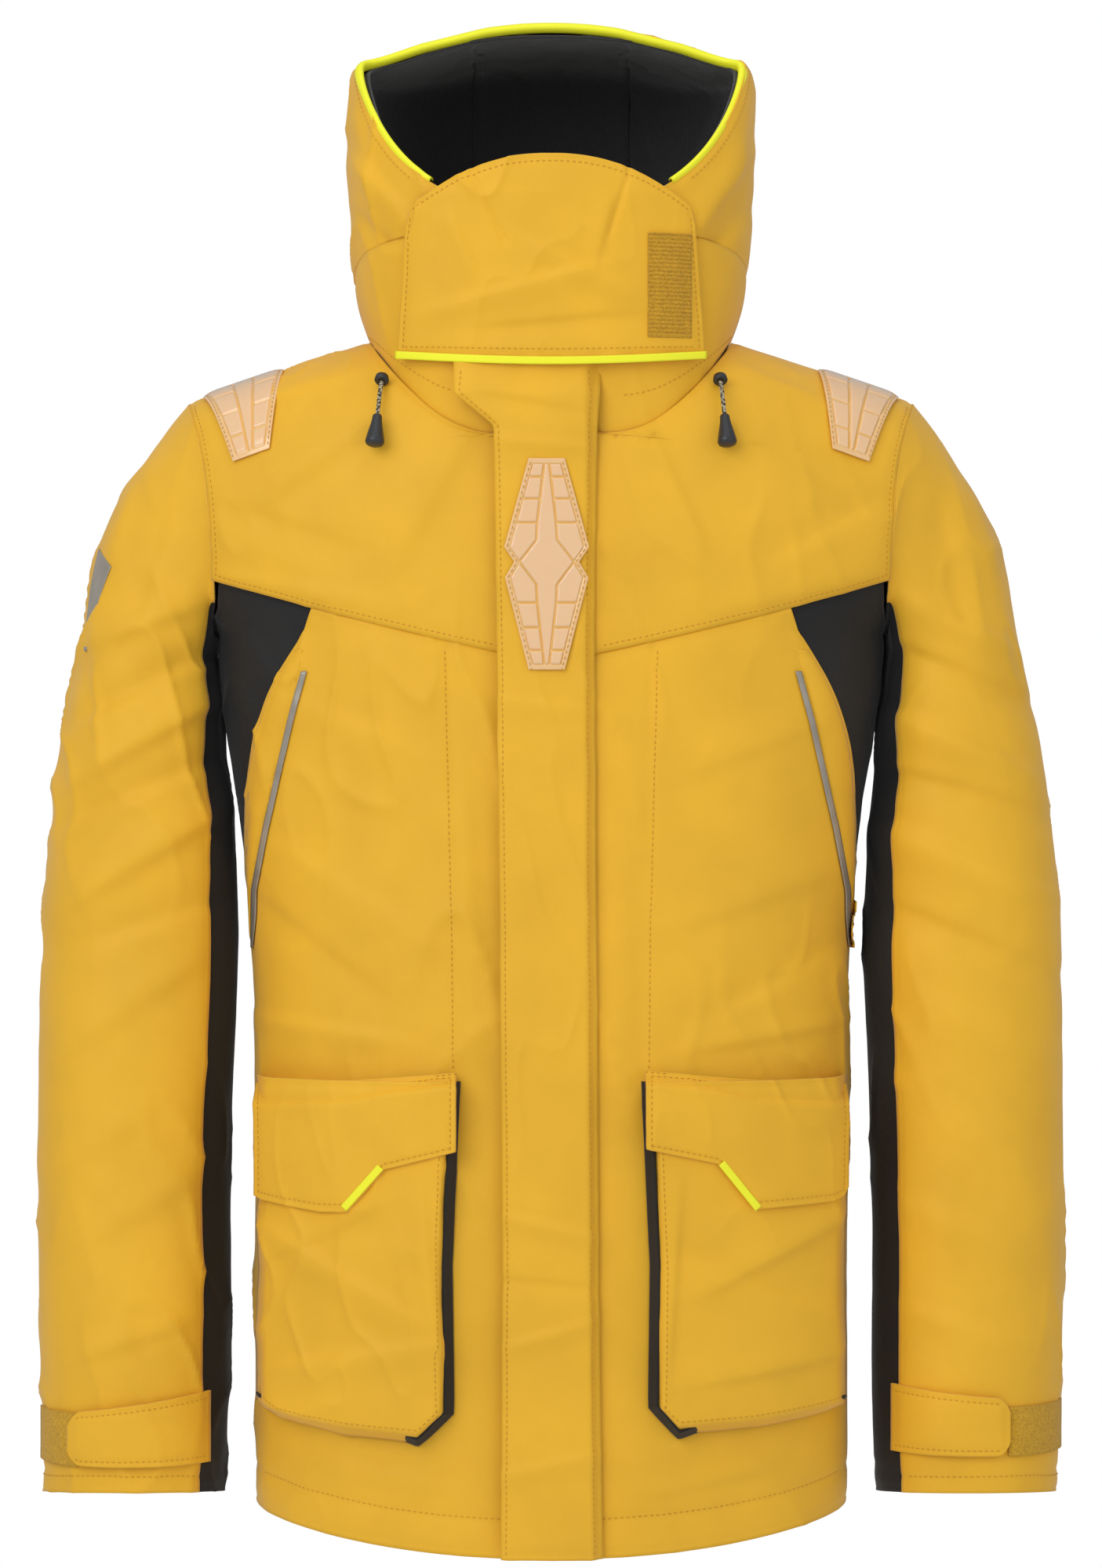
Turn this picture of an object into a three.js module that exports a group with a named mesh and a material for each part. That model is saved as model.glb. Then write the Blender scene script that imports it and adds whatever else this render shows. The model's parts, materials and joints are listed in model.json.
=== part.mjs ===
// Foul weather jacket, closed and hanging upright, built as its separate cut pieces.
// Millimetres, +Z up, the wearer faces -Y and the wearer's left is +X.
// Every cloth piece is a thin plate bent over a shared form: body, sleeve or hood.
import * as THREE from 'three';
import { mergeVertices } from 'three/addons/utils/BufferGeometryUtils.js';

// ---- Driving dimensions ----------------------------------------------------------------

const FRONT_LENGTH = 791; // hem to neckline at the centre front
const HALF_WIDTH = 215; // half the body width from hem to waist
const HALF_DEPTH = 135; // half the body depth, front to back
const HEM_RISE = 24; // how much higher the hem is at the sides
const UNDERARM_DROP = 146; // neckline down to the bottom of the armhole
const ARMHOLE_HALF_WIDTH = HALF_WIDTH + 26; // centre line to the armhole seam
const SHOULDER_FLARE = 21; // armhole seam leans out this much at its top
const NECK_HALF_WIDTH = 130;
const NECK_RISE = 69; // front neckline up to the neck point of the shoulder
const NECK_FRONT_INSET = 4; // neckline behind the front of the body
const NECK_BACK_INSET = 17; // neckline in front of the back of the body
const SHOULDER_SLOPE = 0.33;
const SLEEVE_WIDTH = 136; // width of the hanging sleeve, seen from the front
const SLEEVE_DEPTH = 150;
const CUFF_HEIGHT = 38; // cuff edge above the hem
const HOOD_HALF_WIDTH = 146;
const HOOD_HEIGHT = 291; // front neckline to the crown
const HOOD_FRONT_DEPTH = 120;
const HOOD_BACK_DEPTH = 140;
const HOOD_CENTRE_Y = -30;
const POCKET_WIDTH = 140;
const POCKET_HEIGHT = 236;
const POCKET_DEPTH = 16; // how far the bellows stands off the front
const FLAP_WIDTH = 74; // storm flap over the zip
const CLOTH = 2; // shell fabric with its backing
const LINING = 1.5;
const GAP = 0.4; // clearance between neighbouring pieces
const REST = 3; // clearance of a piece that lies on a curved panel
const LINING_DEPTH = 12; // outer face of the shell to the body lining
const SEAM_ANGLE = 0.12 * Math.PI / 180; // half a seam's clearance round the body

// ---- Sizes that follow -----------------------------------------------------------------

const UNDERARM = FRONT_LENGTH - UNDERARM_DROP;
const NECK_POINT = FRONT_LENGTH + NECK_RISE;
const CROWN = FRONT_LENGTH + HOOD_HEIGHT;
const SHOULDER_START = FRONT_LENGTH - 91; // the chest starts to close towards the shoulder
const SHOULDER_HALF_WIDTH = ARMHOLE_HALF_WIDTH + SHOULDER_FLARE;
const CHEST_FORM_HALF_WIDTH = ARMHOLE_HALF_WIDTH + 59; // the form runs on past the armhole
const ZIP_EDGE = 9; // front panels stop this far from the centre line
const BODY_POWER = 2.5; // squareness of the body section
const SHOULDER_POWER = 3;
const NECK_POWER = 3.7;
const HOOD_SIDE_POWER = 2.5;
const HOOD_CROWN_POWER = 5;
const SLEEVE_POWER = 2.2;
const SIDE_RIDE = FRONT_LENGTH * 0.506; // below this the side panel is out of front view

const clamp01 = (t) => Math.min(1, Math.max(0, t));
const lerp = (a, b, t) => a + (b - a) * t;
const smooth = (t) => clamp01(t) ** 2 * (3 - 2 * clamp01(t));
const radians = (degrees) => degrees * Math.PI / 180;
const signedPower = (value, power) => Math.sign(value) * Math.abs(value) ** power;

// ---- Body form -------------------------------------------------------------------------

// Half width of the body at height z: straight up to the waist, then flaring to the arms.
function bodyHalfWidth(z) {
  const start = UNDERARM - 175;
  const end = UNDERARM + 85;
  const flare = CHEST_FORM_HALF_WIDTH - HALF_WIDTH;
  return HALF_WIDTH + flare * smooth((z - start) / (end - start)) ** 4;
}

const shoulderHeight = (x) => NECK_POINT + (NECK_HALF_WIDTH - Math.abs(x)) * SHOULDER_SLOPE;

// Depth of the body form at (x, z), grown outwards by off.
function bodyDepth(x, z, off) {
  const across = clamp01(Math.abs(x) / (bodyHalfWidth(z) + off));
  const rise = clamp01((z - SHOULDER_START) / (shoulderHeight(x) + off - SHOULDER_START));
  const side = (1 - across ** BODY_POWER) ** (1 / BODY_POWER);
  return (HALF_DEPTH + off) * side * (1 - rise ** SHOULDER_POWER) ** (1 / SHOULDER_POWER);
}

// Height of the shoulder over the plan position (x, y).
function bodyTop(x, y) {
  const side = (1 - (Math.abs(x) / CHEST_FORM_HALF_WIDTH) ** BODY_POWER) ** (1 / BODY_POWER);
  const across = clamp01(Math.abs(y) / (HALF_DEPTH * side));
  const rise = (1 - across ** SHOULDER_POWER) ** (1 / SHOULDER_POWER);
  return lerp(SHOULDER_START, shoulderHeight(x), rise);
}

// Point at a turn round the body: 0 is the centre front, 90 degrees the wearer's left.
function bodyPoint(turn, z, off) {
  const x = (bodyHalfWidth(z) + off) * signedPower(Math.sin(turn), 2 / BODY_POWER);
  const y = -(HALF_DEPTH + off) * signedPower(Math.cos(turn), 2 / BODY_POWER);
  return new THREE.Vector3(x, y, z);
}

// The turn at which the body form reaches x at height z, on the front half.
const turnAt = (x, z) => Math.asin(clamp01(x / bodyHalfWidth(z)) ** (BODY_POWER / 2));

const hemHeight = (x) => HEM_RISE * (Math.min(Math.abs(x), HALF_WIDTH) / HALF_WIDTH) ** 2;
const yokeSeam = (x) => UNDERARM - 19 + 0.2 * Math.abs(x) + 0.0002 * x * x;
const armholeX = (z) => ARMHOLE_HALF_WIDTH
  + SHOULDER_FLARE * clamp01((z - UNDERARM) / (FRONT_LENGTH + 27 - UNDERARM)) ** 4;

// Front and back edges of the black side panel, as turns round the body.
function sideFrontTurn(z) {
  const rise = clamp01((z - SIDE_RIDE) / (UNDERARM + 21 - SIDE_RIDE));
  return radians(90 - 54.5 * rise ** 1.5);
}

const sideBackTurn = (z) => radians(180 - lerp(66, 35.5, smooth(z / (UNDERARM + 21))));

// ---- Sleeve form, wearer's left --------------------------------------------------------

// Outer and inner lines of the hanging sleeve, from the armhole down to the cuff.
const sleeveOuterX = SHOULDER_HALF_WIDTH + 108;
const sleeveInnerX = sleeveOuterX - SLEEVE_WIDTH;
const cuffSpan = UNDERARM - CUFF_HEIGHT;
const outerLine = new THREE.CatmullRomCurve3([
  [SHOULDER_HALF_WIDTH + 3, NECK_POINT - 43],
  [SHOULDER_HALF_WIDTH + 56, UNDERARM + 90],
  [SHOULDER_HALF_WIDTH + 76, UNDERARM],
  [SHOULDER_HALF_WIDTH + 95, UNDERARM - cuffSpan * 0.165],
  [sleeveOuterX - 3, UNDERARM - cuffSpan * 0.354],
  [sleeveOuterX, UNDERARM - cuffSpan * 0.568],
  [sleeveOuterX, UNDERARM - cuffSpan * 0.766],
  [sleeveOuterX - 3, CUFF_HEIGHT],
].map(([x, z]) => new THREE.Vector3(x, 0, z)), false, 'centripetal');
const innerLine = new THREE.CatmullRomCurve3([
  [ARMHOLE_HALF_WIDTH + 3, UNDERARM + 3],
  [sleeveInnerX + 9, UNDERARM - 33],
  [sleeveInnerX + 4, UNDERARM - 80],
  [sleeveInnerX + 3, UNDERARM - cuffSpan * 0.239],
  [sleeveInnerX + 2, UNDERARM - cuffSpan * 0.404],
  [sleeveInnerX, UNDERARM - cuffSpan * 0.585],
  [sleeveInnerX, UNDERARM - cuffSpan * 0.774],
  [sleeveInnerX + 1, CUFF_HEIGHT],
].map(([x, z]) => new THREE.Vector3(x, 0, z)), false, 'centripetal');

// Armhole loop: turn 0 is the top of the shoulder and positive turns go to the front.
function armholePoint(turn) {
  const top = NECK_POINT - 43;
  const z = lerp(UNDERARM + 3, top, 0.5 + 0.5 * Math.cos(turn));
  const x = armholeX(z);
  return new THREE.Vector3(x + 3, -Math.sign(Math.sin(turn)) * bodyDepth(x, z, 0), z);
}

// Point on the sleeve at t along it, 0 at the armhole and 1 at the cuff.
function sleevePoint(t, turn, off) {
  const outer = outerLine.getPoint(t);
  const inner = innerLine.getPoint(t);
  const centre = outer.clone().add(inner).multiplyScalar(0.5);
  const half = outer.clone().sub(inner).multiplyScalar(0.5);
  half.setLength(half.length() + off);
  const point = centre.addScaledVector(half, signedPower(Math.cos(turn), 2 / SLEEVE_POWER));
  point.y = -(SLEEVE_DEPTH / 2 + off) * signedPower(Math.sin(turn), 2 / SLEEVE_POWER);
  const hole = armholePoint(turn);
  hole.y *= 1 + off / (SLEEVE_DEPTH / 2);
  hole.z += off * Math.cos(turn);
  return hole.lerp(point, smooth(t / 0.2));
}

// ---- Hood form -------------------------------------------------------------------------

const HOOD_SHOULDER = CROWN - 147; // above this the hood closes towards the crown
const HOOD_TOP = CROWN + 3;

function hoodScale(z) {
  const rise = clamp01((z - HOOD_SHOULDER) / (HOOD_TOP - HOOD_SHOULDER));
  return (1 - rise ** HOOD_CROWN_POWER) ** (1 / HOOD_CROWN_POWER);
}

// The hood narrows towards the neck.
const neckTaper = (z) => 1 - 0.11 * clamp01((HOOD_SHOULDER + 25 - z) / 100) ** 2;

function hoodPoint(turn, z, off) {
  const scale = hoodScale(z);
  const rise = clamp01((z - HOOD_SHOULDER) / (HOOD_TOP - HOOD_SHOULDER));
  const front = Math.cos(turn) > 0;
  const depth = front ? HOOD_FRONT_DEPTH : HOOD_BACK_DEPTH;
  const width = HOOD_HALF_WIDTH * neckTaper(z) + off;
  const x = width * scale * signedPower(Math.sin(turn), 2 / HOOD_SIDE_POWER);
  const y = (depth + off) * scale * signedPower(Math.cos(turn), 2 / HOOD_SIDE_POWER);
  return new THREE.Vector3(x, HOOD_CENTRE_Y - y, z + off * rise);
}

// The face opening leans back as it rises.
const rimY = (z) => HOOD_CENTRE_Y - 99 + 0.58 * (z - (CROWN - 108));

// Turn at which the face opening starts at height z.
function rimTurn(z) {
  const reach = (HOOD_CENTRE_Y - rimY(z)) / (HOOD_FRONT_DEPTH * hoodScale(z));
  return Math.acos(clamp01(reach) ** (HOOD_SIDE_POWER / 2)) + 2 * SEAM_ANGLE;
}

// Top edge of the collar: a plane that rises from the nape to the chin.
const NAPE_Y = HOOD_CENTRE_Y + HOOD_BACK_DEPTH;
const NAPE_Z = NECK_POINT + 10;
const CHIN_RISE = 0.23;
const collarTop = (y) => NAPE_Z + (NAPE_Y - y) * CHIN_RISE;

function collarTopPoint(turn, off) {
  const level = hoodPoint(turn, NAPE_Z, off);
  return hoodPoint(turn, collarTop(level.y), off);
}

// Seam between body and collar, drawn in by inset.
function necklinePoint(turn, inset) {
  const depth = HALF_DEPTH - inset - (Math.cos(turn) > 0 ? NECK_FRONT_INSET : NECK_BACK_INSET);
  const x = (NECK_HALF_WIDTH - inset) * signedPower(Math.sin(turn), 2 / NECK_POWER);
  const y = -depth * signedPower(Math.cos(turn), 2 / NECK_POWER);
  return new THREE.Vector3(x, y, bodyTop(x, y));
}

// ---- Solids from forms -----------------------------------------------------------------

// A closed geometry with merged vertices, no empty triangles and its faces pointing out.
function closed(geometry) {
  geometry.deleteAttribute('normal');
  geometry.deleteAttribute('uv');
  const merged = mergeVertices(geometry, 1e-3);
  const position = merged.getAttribute('position');
  const index = merged.getIndex();
  const faces = [];
  const [a, b, c] = [new THREE.Vector3(), new THREE.Vector3(), new THREE.Vector3()];
  let volume = 0;
  for (let i = 0; i < index.count; i += 3) {
    const corners = [index.getX(i), index.getX(i + 1), index.getX(i + 2)];
    if (new Set(corners).size < 3) continue;
    faces.push(corners);
    a.fromBufferAttribute(position, corners[0]);
    b.fromBufferAttribute(position, corners[1]);
    c.fromBufferAttribute(position, corners[2]);
    volume += a.dot(b.cross(c));
  }
  merged.setIndex(faces.flatMap(([p, q, r]) => (volume < 0 ? [p, r, q] : [p, q, r])));
  merged.computeVertexNormals();
  return merged;
}

// Splits the inner face of a box along the same diagonals as the outer one, so that a twisted
// plate keeps its thickness.
function matchDiagonals(box) {
  const index = box.getIndex();
  const inner = box.groups.at(-1);
  for (let i = inner.start; i < inner.start + inner.count; i += 6) {
    const [a, b, d, c] = [0, 1, 2, 4].map((corner) => index.getX(i + corner));
    [a, b, c, a, c, d].forEach((corner, k) => index.setX(i + k, corner));
  }
}

// A plate: place(u, v, w) gives its points, with w 0 on the inner face and 1 on the outer.
function plate(columns, rows, place) {
  const geometry = new THREE.BoxGeometry(1, 1, 1, columns, rows, 1);
  matchDiagonals(geometry);
  const position = geometry.getAttribute('position');
  for (let i = 0; i < position.count; i += 1) {
    const u = position.getX(i) + 0.5;
    const v = position.getY(i) + 0.5;
    const w = position.getZ(i) + 0.5;
    position.setXYZ(i, ...place(u, v, w).toArray());
  }
  return closed(geometry);
}

// A plate laid on the front of the body between two heights and two sides.
function frontPlate(columns, rows, left, right, bottom, top, rest, thick) {
  return plate(columns, rows, (u, v, w) => {
    const z = lerp(bottom(u), top(u), v);
    const x = lerp(left(z), right(z), u);
    const off = rest + w * thick;
    return new THREE.Vector3(x, -bodyDepth(x, z, off), z);
  });
}

// The same solid for the wearer's right.
function mirrored(geometry) {
  const copy = geometry.clone();
  copy.scale(-1, 1, 1);
  return closed(copy);
}

// ---- Materials -------------------------------------------------------------------------

const finish = (color, roughness, metalness = 0) => new THREE.MeshStandardMaterial({
  color, roughness, metalness,
});
const yellowShell = finish(0xe6af2d, 0.62);
const blackShell = finish(0x262626, 0.7);
const fleece = finish(0x212121, 0.95);
const innerCuff = finish(0xa3560c, 0.8);
const neonTrim = finish(0xffff32, 0.5);
const reflectiveTape = finish(0xafa596, 0.35, 0.2);
const softPvc = finish(0xe1a57d, 0.18);
const hookTape = finish(0x1c1c1d, 0.9);
const mouldedPlastic = finish(0x2d3034, 0.45);
const cordBraid = finish(0x2b2a28, 0.85);
const zipCoil = finish(0x1f2022, 0.4);

const jacket = new THREE.Group();
const garment = new THREE.Group(); // drawn from the hem up, then hung by its loop
jacket.add(garment);

function add(name, geometry, material) {
  const mesh = new THREE.Mesh(geometry, material);
  mesh.name = name;
  garment.add(mesh);
  return mesh;
}

// One piece for each side, drawn for the wearer's left.
function addPair(name, geometry, material) {
  add(`${name}_left`, geometry, material);
  add(`${name}_right`, mirrored(geometry), material);
}

// ---- Body ------------------------------------------------------------------------------

// Where the side panel's front edge meets the yoke.
const sideSeamX = bodyPoint(sideFrontTurn(UNDERARM + 21), UNDERARM + 21, 0).x;
const SIDE_SEAM_TOP = yokeSeam(sideSeamX);

function frontPanel() {
  return plate(6, 8, (u, v, w) => {
    const low = hemHeight(lerp(ZIP_EDGE, HALF_WIDTH, u));
    const high = yokeSeam(lerp(ZIP_EDGE, sideSeamX, u)) - 2 * GAP;
    const z = lerp(low, high, v);
    const turn = lerp(turnAt(ZIP_EDGE, z), sideFrontTurn(z) - SEAM_ANGLE, u);
    return bodyPoint(turn, z, -CLOTH * (1 - w));
  });
}

// Top edge of the side panel: the yoke seam in front and behind, the armhole between.
function sideTop(turn) {
  const fromSide = Math.abs(turn - Math.PI / 2);
  const armhole = radians(32.8);
  const armholeEnd = UNDERARM + 41;
  const past = clamp01((fromSide - armhole) / radians(21.7));
  const rise = lerp(UNDERARM, armholeEnd, Math.min(1, fromSide / armhole) ** 2);
  return lerp(rise, SIDE_SEAM_TOP, past) - 2 * GAP;
}

function sidePanel() {
  return plate(10, 8, (u, v, w) => {
    const start = (z) => sideFrontTurn(z) + SEAM_ANGLE;
    const end = (z) => sideBackTurn(z) - SEAM_ANGLE;
    const high = sideTop(lerp(sideFrontTurn(UNDERARM + 21), sideBackTurn(UNDERARM + 21), u));
    const z = lerp(HEM_RISE, high, v);
    return bodyPoint(lerp(start(z), end(z), u), z, -CLOTH * (1 - w));
  });
}

function backPanel() {
  return plate(12, 8, (u, v, w) => {
    const side = 1 - 2 * u;
    const high = yokeSeam(side * sideSeamX) - 2 * GAP;
    const z = lerp(hemHeight(side * HALF_WIDTH), high, v);
    const edge = sideBackTurn(z) + SEAM_ANGLE;
    return bodyPoint(lerp(edge, 2 * Math.PI - edge, u), z, -CLOTH * (1 - w));
  });
}

// Yoke: from the front seam over the shoulder to the back seam, between neck and armhole.
function yoke() {
  const straightShare = 0.45; // share of the rows below the neckline
  return plate(6, 16, (u, v, w) => {
    const front = v < 0.5;
    const climb = 1 - Math.abs(2 * v - 1);
    const edge = front ? ZIP_EDGE : GAP;
    const neckTurn = Math.PI / 2 * clamp01((climb - straightShare) / (1 - straightShare));
    const neck = necklinePoint(front ? neckTurn : Math.PI - neckTurn, 0);
    const innerX = Math.max(edge, neck.x);
    const innerZ = lerp(yokeSeam(edge), neck.z, Math.min(1, climb / straightShare));
    const swing = Math.sin(climb * Math.PI / 2);
    const outerZ = lerp(UNDERARM + 41, shoulderHeight(SHOULDER_HALF_WIDTH), swing);
    const x = lerp(innerX, armholeX(outerZ), u);
    const bow = yokeSeam(x) - lerp(yokeSeam(edge), UNDERARM + 41, u);
    const off = -CLOTH * (1 - w);
    const z = lerp(innerZ, outerZ, u) + bow * (1 - swing) + off * swing;
    return new THREE.Vector3(x, (front ? -1 : 1) * bodyDepth(x, z, off), z);
  });
}

// Lining: one open shell inside the body, from above the hem up to the yoke seam.
function bodyLining() {
  return plate(24, 5, (u, v, w) => {
    const z = lerp(HEM_RISE + 14, UNDERARM - 30, v);
    const edge = turnAt(ZIP_EDGE + 16, z);
    const turn = lerp(edge, 2 * Math.PI - edge, u);
    return bodyPoint(turn, z, -LINING_DEPTH - LINING * (1 - w));
  });
}

// ---- Centre front ----------------------------------------------------------------------

const FRONT_Y = -HALF_DEPTH;
const ZIP_BOTTOM = 12;
const ZIP_TOP = FRONT_LENGTH - 12;
const SLIDER_HEIGHT = 16;
const FLAP_BACK = FRONT_Y - 9; // inner face of the storm flap
const FLAP_CLOTH = 3;
const FLAP_HINGE_X = 36;
const FLAP_TOP = FRONT_LENGTH + 45;

// A rectangular block between two corners.
function block(x0, x1, y0, y1, z0, z1) {
  const geometry = new THREE.BoxGeometry(x1 - x0, y1 - y0, z1 - z0);
  geometry.translate((x0 + x1) / 2, (y0 + y1) / 2, (z0 + z1) / 2);
  return closed(geometry);
}

// An outline in x and z, given as (x, z) pairs, extruded backwards from its outer face.
function frontSlab(points, outerY, thick) {
  const shape = new THREE.Shape(points.map(([x, z]) => new THREE.Vector2(x, z)));
  const geometry = new THREE.ExtrudeGeometry(shape, { depth: thick, bevelEnabled: false });
  geometry.rotateX(Math.PI / 2);
  geometry.translate(0, outerY + thick, 0);
  return closed(geometry);
}

function zipTape() {
  return block(1, ZIP_EDGE - GAP, FRONT_Y + 0.5, FRONT_Y + 2.5, ZIP_BOTTOM, ZIP_TOP);
}

function zipSlider() {
  const back = FRONT_Y - 0.2;
  return block(-5.5, 5.5, back - 4, back, ZIP_TOP - SLIDER_HEIGHT, ZIP_TOP);
}

function zipPuller() {
  const back = FRONT_Y - 4.6;
  const top = ZIP_TOP - SLIDER_HEIGHT + 4;
  const tip = top - 30;
  return frontSlab([[-3.6, tip], [3.6, tip], [3, top], [-3, top]], back - 1.6, 1.6);
}

function stormGuard() {
  return block(-24, 24, FRONT_Y + 4, FRONT_Y + 5.5, ZIP_BOTTOM, FRONT_LENGTH - 40);
}

// The storm flap widens to the wearer's right above its shoulder.
const flapFreeX = FLAP_HINGE_X - FLAP_WIDTH;
const stormFlapOutline = [
  [flapFreeX + 3, 2],
  [FLAP_HINGE_X - 1, 4],
  [FLAP_HINGE_X - 3, FRONT_LENGTH * 0.26],
  [FLAP_HINGE_X - 4, FRONT_LENGTH * 0.88],
  [FLAP_HINGE_X, FLAP_TOP],
  [flapFreeX - 30, FLAP_TOP],
  [flapFreeX - 30, FLAP_TOP - 22],
  [flapFreeX - 2, FRONT_LENGTH],
  [flapFreeX + 1, FRONT_LENGTH * 0.78],
  [flapFreeX + 4, FRONT_LENGTH * 0.26],
];

// Bow-tie pad of soft PVC: two tapered halves that meet at a narrow waist.
function padOutline(centreX, waistZ, halfLength) {
  const [tip, wide, waist] = [13, 29, 22];
  const shoulder = halfLength * 0.14;
  const side = [
    [tip, halfLength], [wide, shoulder], [waist, 0], [wide, -shoulder], [tip, -halfLength],
  ];
  const right = side.map(([x, z]) => [centreX + x, waistZ + z]);
  const left = side.map(([x, z]) => [centreX - x, waistZ + z]).reverse();
  return [...right, ...left];
}

// ---- Pockets ---------------------------------------------------------------------------

const POCKET_INNER_X = 66;
const POCKET_OUTER_X = POCKET_INNER_X + POCKET_WIDTH;
const POCKET_TOP = 334;
const POCKET_BOTTOM = POCKET_TOP - POCKET_HEIGHT;
const POCKET_WALL = 2;

// Bellows pocket: front and two sides in one strip, open at its top.
function pocketBag() {
  const profile = [
    [0, 0], [0, 1], [0.2, 1], [0.4, 1], [0.6, 1], [0.8, 1], [1, 1], [1, 0],
  ];
  const last = profile.length - 1;
  return plate(last, 1, (u, v, w) => {
    const wall = POCKET_WALL * (1 - w);
    const [across, stand] = profile[Math.round(u * last)];
    const side = Math.sign(across - 0.5) * (across % 1 === 0 ? wall : 0);
    const x = lerp(POCKET_INNER_X, POCKET_OUTER_X, across) - side;
    const z = lerp(POCKET_BOTTOM + POCKET_WALL + GAP, POCKET_TOP, v);
    const off = lerp(REST, POCKET_DEPTH - wall, stand);
    return new THREE.Vector3(x, -bodyDepth(x, z, off), z);
  });
}

const straight = (value) => () => value;

function pocketFloor() {
  return frontPlate(5, 1, straight(POCKET_INNER_X), straight(POCKET_OUTER_X),
    straight(POCKET_BOTTOM), straight(POCKET_BOTTOM + POCKET_WALL), REST, POCKET_DEPTH - REST);
}

const POCKET_FLAP_REST = POCKET_DEPTH + 4;
const POCKET_FLAP_TOP = POCKET_TOP + 6;
const FLAP_STRIP = 5; // width of the neon strip on the flap's cut corner

// Lower edge of the pocket flap: level, then the cut corner, then level to the side.
function flapBottom(x) {
  const drop = clamp01((x - POCKET_INNER_X - 51) / 27);
  return POCKET_FLAP_TOP - lerp(64, 95, drop);
}

function pocketFlap() {
  return frontPlate(8, 1, straight(POCKET_INNER_X + 3), straight(POCKET_OUTER_X + 2),
    (u) => flapBottom(lerp(POCKET_INNER_X + 3, POCKET_OUTER_X + 2, u)) + 8 * u ** 6,
    straight(POCKET_FLAP_TOP), POCKET_FLAP_REST, CLOTH);
}

function pocketFlapTrim() {
  const start = POCKET_INNER_X + 52;
  return frontPlate(2, 1, straight(start), straight(start + 25),
    (u) => flapBottom(lerp(start, start + 25, u)) + 2,
    (u) => flapBottom(lerp(start, start + 25, u)) + 2 + FLAP_STRIP,
    POCKET_FLAP_REST + CLOTH + GAP, 0.6);
}

function pocketLoopPatch() {
  const inner = POCKET_INNER_X + 22;
  return frontPlate(3, 1, straight(inner), straight(inner + 100),
    straight(POCKET_TOP - 62), straight(POCKET_TOP - 22), POCKET_DEPTH + 2, 0.7);
}

// Slanted hand pocket along the front edge of the side panel.
function handPocketWelt() {
  return plate(1, 6, (u, v, w) => {
    const z = lerp(UNDERARM - 205, UNDERARM - 32, v);
    const turn = sideFrontTurn(z) + radians(lerp(1.5, 5, u));
    return bodyPoint(turn, z, REST + 1.5 + w);
  });
}

function reflectiveStripe() {
  return plate(1, 6, (u, v, w) => {
    const z = lerp(UNDERARM - 218, UNDERARM - 22, v);
    const turn = sideFrontTurn(z) - radians(lerp(2.6, 1, u));
    return bodyPoint(turn, z, REST + 0.6 * w);
  });
}

// ---- Collar and hood -------------------------------------------------------------------

// A wall that stands from the neckline to the top edge of the collar.
function collarWall(rest, thick, columns) {
  return plate(columns, 3, (u, v, w) => {
    const edge = radians(4);
    const turn = lerp(edge, 2 * Math.PI - edge, u);
    const off = rest + w * thick;
    const low = necklinePoint(turn, 3 - off);
    low.z = necklinePoint(turn, 3).z + 2 * GAP;
    const high = collarTopPoint(turn, off);
    high.z -= GAP;
    return low.lerp(high, v);
  });
}

const HOOD_SEAM_X = 52; // centre panel's half width
const hoodBase = (turn) => collarTopPoint(turn, 0).z + GAP;

// Turn at which the hood meets its centre panel at height z, behind or in front.
function seamTurn(z, behind) {
  const share = clamp01(HOOD_SEAM_X / (HOOD_HALF_WIDTH * neckTaper(z) * hoodScale(z)));
  const turn = Math.asin(share ** (HOOD_SIDE_POWER / 2));
  return behind ? Math.PI - turn : turn;
}

// Height on the crown curve: close steps near the top, where the hood turns over.
function crownHeight(base, v, top) {
  const start = Math.asin(clamp01((base - HOOD_SHOULDER) / (HOOD_TOP - HOOD_SHOULDER)));
  const swing = Math.sin(lerp(start, Math.PI / 2, v));
  const curved = HOOD_SHOULDER + (HOOD_TOP - HOOD_SHOULDER) * swing;
  return Math.min(top, lerp(base, curved, base > HOOD_SHOULDER ? 1 : smooth(v * 1.5)));
}

// Height of the crown over the plan position (x, y).
function crownTop(x, y, off) {
  const back = y - HOOD_CENTRE_Y;
  const depth = (back < 0 ? HOOD_FRONT_DEPTH : HOOD_BACK_DEPTH) + off;
  const level = (Math.abs(x) / (HOOD_HALF_WIDTH + off)) ** HOOD_SIDE_POWER
    + (Math.abs(back) / depth) ** HOOD_SIDE_POWER;
  const height = clamp01(1 - level ** (HOOD_CROWN_POWER / HOOD_SIDE_POWER));
  return HOOD_SHOULDER + (HOOD_TOP - HOOD_SHOULDER + off) * height ** (1 / HOOD_CROWN_POWER);
}

function hoodSide() {
  const top = HOOD_TOP - 1.2;
  return plate(8, 10, (u, v, w) => {
    const guess = lerp(NAPE_Z + 30, top, v);
    const share = lerp(rimTurn(guess), seamTurn(guess, true), u);
    const z = crownHeight(hoodBase(share), v, top);
    const start = Math.max(rimTurn(z), seamTurn(z, false));
    const turn = lerp(start, seamTurn(z, true) - 2 * SEAM_ANGLE, u);
    const off = -CLOTH * (1 - w);
    const point = hoodPoint(turn, z, off);
    if (v < 1) return point;
    return new THREE.Vector3(HOOD_SEAM_X, point.y, crownTop(HOOD_SEAM_X, point.y, off));
  });
}

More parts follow.
